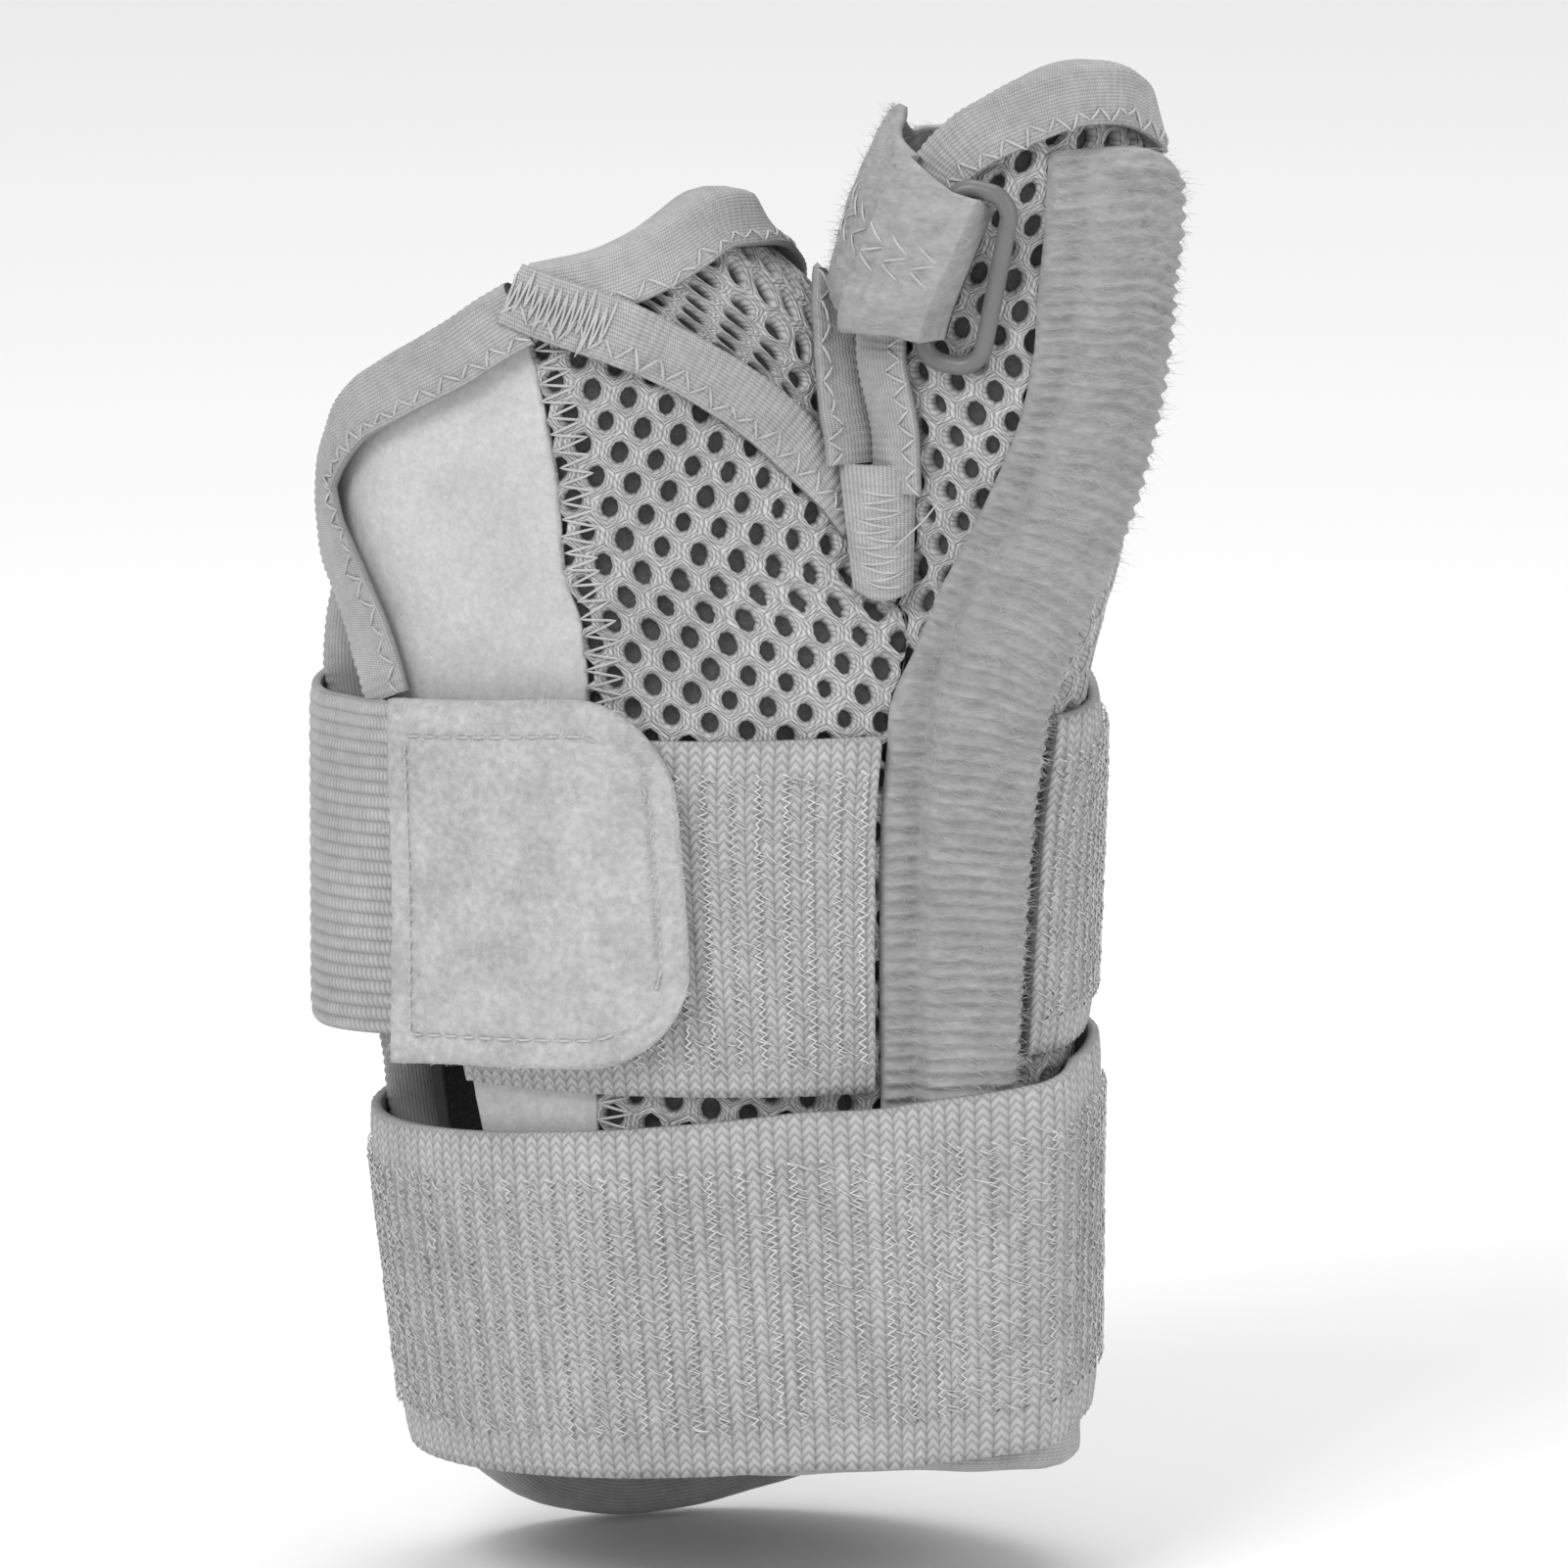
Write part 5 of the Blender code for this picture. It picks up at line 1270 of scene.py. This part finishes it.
along = np.concatenate([np.linspace(0, 0.80, 90), 0.80 + 0.20 * (1 - np.linspace(1, 0, 60)[1:] ** 1.6)])
u, v = np.meshgrid(along, np.linspace(0, 1, 42), indexing="ij")
endRound = 1 - 0.5 * (2 * np.abs(v - 0.5)) ** 10
napRows = np.sin(u * 2 * np.pi * 60 / 1.5 + 2 * wobble(u * 8, v * 5, 2))
strapRise = 0.0018 * endRound + 0.00012 * wobble(u * 60, v * 12, 4) + 0.00010 * napRows
strapLength = middleLength(thumbStrapAt, 300)
uv = np.stack([u * strapLength, v * 0.02], axis=-1)
thumbStrap = wallPiece("thumbStrap", thumbStrapAt(u, v, strapRise), thumbStrapAt(u, v, 0 * u), uv)
dress(thumbStrap, "plush", ["thumb_strap"])


# Zigzag threads across the strap: rows of slanted stitches
rows, cols = 3, 7
i, j = np.meshgrid(np.arange(cols), np.arange(rows), indexing="ij")
i, j = i.ravel()[:, None], j.ravel()[:, None]
t = np.linspace(0, 1, 6)
flip = np.where(j % 2, 1, -1)
offCentre = rng.normal(0, 0.05, (rows * cols, 1))
stitchU = 0.66 + (0.97 - 0.66) * (i + 0.5 + flip * (t - 0.5) * 0.9 + offCentre) / cols
stitchV = 0.36 + (0.62 - 0.36) * (j + t + rng.normal(0, 0.06, (rows * cols, 1))) / rows
up = np.broadcast_to(0.00175 + 0.00022 * np.sin(np.pi * t), stitchU.shape)
zigzags = tubesPiece("strapZigzag", thumbStrapAt(stitchU, stitchV, up), 0.00016)
addTo("thumbStrap", dress(zigzags, "thread"))
strapTop = lambda a, b, lift: thumbStrapAt(a, b, 0.0016 + lift)
fuzzOn("thumbStrapFuzz", "thumbStrap", strapTop, 3600, "plushFibre", 0.0012, (1, 0), 0.4)

# Ring: a round wire bent to a rounded rectangle, upright against the thumb

ring = {
    "length": 0.0245, "width": 0.0101, "wire": 0.0023, "corner": 0.0032, "lean": 11.0, "angle": -13.0,
    "clearance": 0.0015, "stations": 96, "sides": 20,
}
ringZ = float(smoothTable(thumbStrapCourse, ring["angle"])) * tall
centre = skins[thumb].at(np.array([ring["angle"]]), np.array([ringZ]))[0]
normal = skins[thumb].read(skins[thumb].normals, np.array([ring["angle"]]), np.array([ringZ]))[0]
normal[2] = 0
normal /= np.linalg.norm(normal)
sideways = np.cross((0, 0, 1), normal)
upright = np.cross(normal, sideways)
slant = math.radians(ring["lean"])
longWay = upright * math.cos(slant) + sideways * math.sin(slant)
shortWay = np.cross(longWay, normal)
turn = np.linspace(0, 2 * np.pi, ring["stations"], endpoint=False)
halfLong = (ring["length"] - ring["wire"]) / 2 - ring["corner"]
halfShort = (ring["width"] - ring["wire"]) / 2 - ring["corner"]
centre = centre + normal * (ring["wire"] / 2 + ring["clearance"])
alongRing = halfLong * np.clip(np.sin(turn) * 6, -1, 1) + ring["corner"] * np.sin(turn)
overRing = halfShort * np.clip(np.cos(turn) * 6, -1, 1) + ring["corner"] * np.cos(turn)
ringPath = centre + alongRing[:, None] * longWay + overRing[:, None] * shortWay
tangent = np.roll(ringPath, -1, axis=0) - np.roll(ringPath, 1, axis=0)
tangent /= np.linalg.norm(tangent, axis=-1, keepdims=True)
outward = np.cross(tangent, normal)
around = np.linspace(0, 2 * np.pi, ring["sides"], endpoint=False)
spokes = outward[:, None] * np.cos(around)[:, None] + normal * np.sin(around)[:, None]
ringPoints = ringPath[:, None] + ring["wire"] / 2 * spokes
lastRow, k = (ring["stations"] - 1) * ring["sides"], np.arange(ring["sides"])
after = (k + 1) % ring["sides"]
closing = np.stack([lastRow + k, k, after, lastRow + after], axis=-1)
ringFaces = np.concatenate([gridFaces(ring["stations"], ring["sides"], True), closing])
ringPiece = meshPiece("thumbRing", ringPoints.reshape(-1, 3), ringFaces)
plastic = bpy.data.materials.new("ringPlastic")
plastic.use_nodes = True
tree = plastic.node_tree
shader = tree.nodes["Principled BSDF"]
shader.inputs["Roughness"].default_value = 0.38
place = tree.nodes.new("ShaderNodeTexCoord")
shades = groupNode(tree, toneGroup, {"Vector": place.outputs["Object"]},
                   {"Scale": 220.0, "Low": 0.9, "High": 1.08})
paint(tree, shader, grey(0.15), shades.outputs["Tone"], shades.outputs["Tone"], 0.15, 0.0001)
finishes["plastic"] = plastic
dress(ringPiece, "plastic", ["thumb_ring"])

# Folded end of the V tapes, sewn down over the crotch


def crotchAt(u, v, lift):
    x = 0.0183 - 0.0007 * v + (u - 0.5) * (0.0074 + 0.0022 * v)
    y = -0.0262 + 0.0026 * v + 0.0016 * (2 * u - 1) ** 2 - lift
    return np.stack([x, y, 0.1160 + 0.0165 * v + 0.0012 * (2 * u - 1) ** 2 * (1 - v)], axis=-1)


u, v = unitGrid(24, 84)
rounded = 0.0006 * ((2 * np.abs(u - 0.5)) ** 6 + (2 * np.abs(v - 0.5)) ** 12)
folds = 0.0011 + 0.00022 * np.abs(np.sin(np.pi * v * 0.0165 / tape["ribPitch"] + u)) \
    + 0.0001 * wobble(u * 9, v * 22, 4) - rounded
uv = np.stack([v * 0.0165, u * 0.008], axis=-1)
crotchFold = wallPiece("crotchFold", crotchAt(u, v, folds), crotchAt(u, v, 0 * u), uv)
dress(crotchFold, "tape")
i, t = np.meshgrid(np.arange(13), np.linspace(0, 1, 6), indexing="ij")
tackU = 0.15 + 0.7 * np.where(i % 2, t, 1 - t) + rng.normal(0, 0.05, (13, 1))
tackV = (i + t) / 14 * 0.8 + 0.08
tackPaths = crotchAt(tackU, tackV, 0.0011 + 0.0003 * np.sin(np.pi * t))
addTo("crotchFold", dress(tubesPiece("crotchTacks", tackPaths, 0.00016), "thread"))

# A loose thread where the tapes meet
spots = ((0.0256, -0.0262, 0.1290), (0.0235, -0.0275, 0.1265),
         (0.0205, -0.0268, 0.1235), (0.0187, -0.0255, 0.1215))
strand = evenly(np.array(spots), 24, 3)[None]
dress(tubesPiece("gussetEndThread", strand, 0.00013), "thread")

# Flat sizes of the mesh panels: rectangles estimated to hold each, and the panel's own area.
# A net's cell walls and ridges add surface.


def gridArea(grid):
    across, up = grid[1:, :-1] - grid[:-1, :-1], grid[:-1, 1:] - grid[:-1, :-1]
    return float(np.linalg.norm(np.cross(across, up), axis=-1).sum())


cuts = {"front": (0.062, 0.140), "thumb": (0.085, 0.175), "back": (0.110, 0.150), "gusset": (0.056, 0.036)}
regions["gussetPieces"] = (gusset, gussetHoleShade)
for name, (wide, high) in cuts.items():
    facing = gussetAt(*unitGrid(60, 60), 0.0) if name == "gusset" else patch(regions[name], 80, 80)[0]
    cells = gridArea(facing)
    print("stage: panel", name, "area", round(cells * 1e6), "of", round(wide * high * 1e6))
    netPart, holeShadePart = regions[name + "Pieces"]


# Camera, light and floor

view = {"lookAt": (0.0061, 0.0, 0.0873), "frameWidth": 0.1952, "distance": 3.0, "elevation": 12.0}
print("stage: camera and light")
lean = math.radians(view["elevation"])
back = Vector((0, -math.cos(lean), math.sin(lean)))
camData = bpy.data.cameras.new("photoCamera")
camData.sensor_width = 36.0
camData.lens = 36.0 * view["distance"] / view["frameWidth"]
camData.clip_start, camData.clip_end = 0.05, 20
camera = bpy.data.objects.new("photoCamera", camData)
bpy.context.scene.collection.objects.link(camera)
camera.location = Vector(view["lookAt"]) + back * view["distance"]
camera.rotation_mode = "QUATERNION"
camera.rotation_quaternion = (-back).to_track_quat("-Z", "Y")
bpy.context.scene.camera = camera


def areaLight(name, place, size, power):
    data = bpy.data.lights.new(name, "AREA")
    data.shape, data.size, data.energy = "SQUARE", size, power
    lamp = bpy.data.objects.new(name, data)
    bpy.context.scene.collection.objects.link(lamp)
    lamp.location = place
    lamp.rotation_mode = "QUATERNION"
    lamp.rotation_quaternion = (Vector((0, 0, 0.09)) - Vector(place)).to_track_quat("-Z", "Y")


lights = {  # place, size and power
    "key": ((-0.7, -1.1, 1.2), 0.7, 13.2),
    "fill": ((1.1, -0.9, 0.6), 0.9, 4.8),
    "top": ((0.1, 0.5, 1.4), 0.8, 6.6),
}
for name, (place, size, power) in lights.items():
    areaLight(name + "Light", place, size, power)
world = bpy.data.worlds.new("studio")
world.use_nodes = True
world.node_tree.nodes["Background"].inputs["Color"].default_value = (1, 1, 1, 1)
world.node_tree.nodes["Background"].inputs["Strength"].default_value = 0.60
bpy.context.scene.world = world
bpy.context.scene.view_settings.view_transform = "Standard"

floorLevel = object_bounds()[0].z - 0.0003
floorPoints = np.array([(-6, -6, floorLevel), (6, -6, floorLevel), (6, 6, floorLevel), (-6, 6, floorLevel)])
floor = meshPiece("floor", floorPoints, [[0, 1, 2, 3]])
paper = bpy.data.materials.new("paleFloor")
paper.use_nodes = True
paper.node_tree.nodes["Principled BSDF"].inputs["Base Color"].default_value = (0.95, 0.95, 0.95, 1)
paper.node_tree.nodes["Principled BSDF"].inputs["Roughness"].default_value = 0.9
floor.data.materials.append(paper)

print("stage: done")
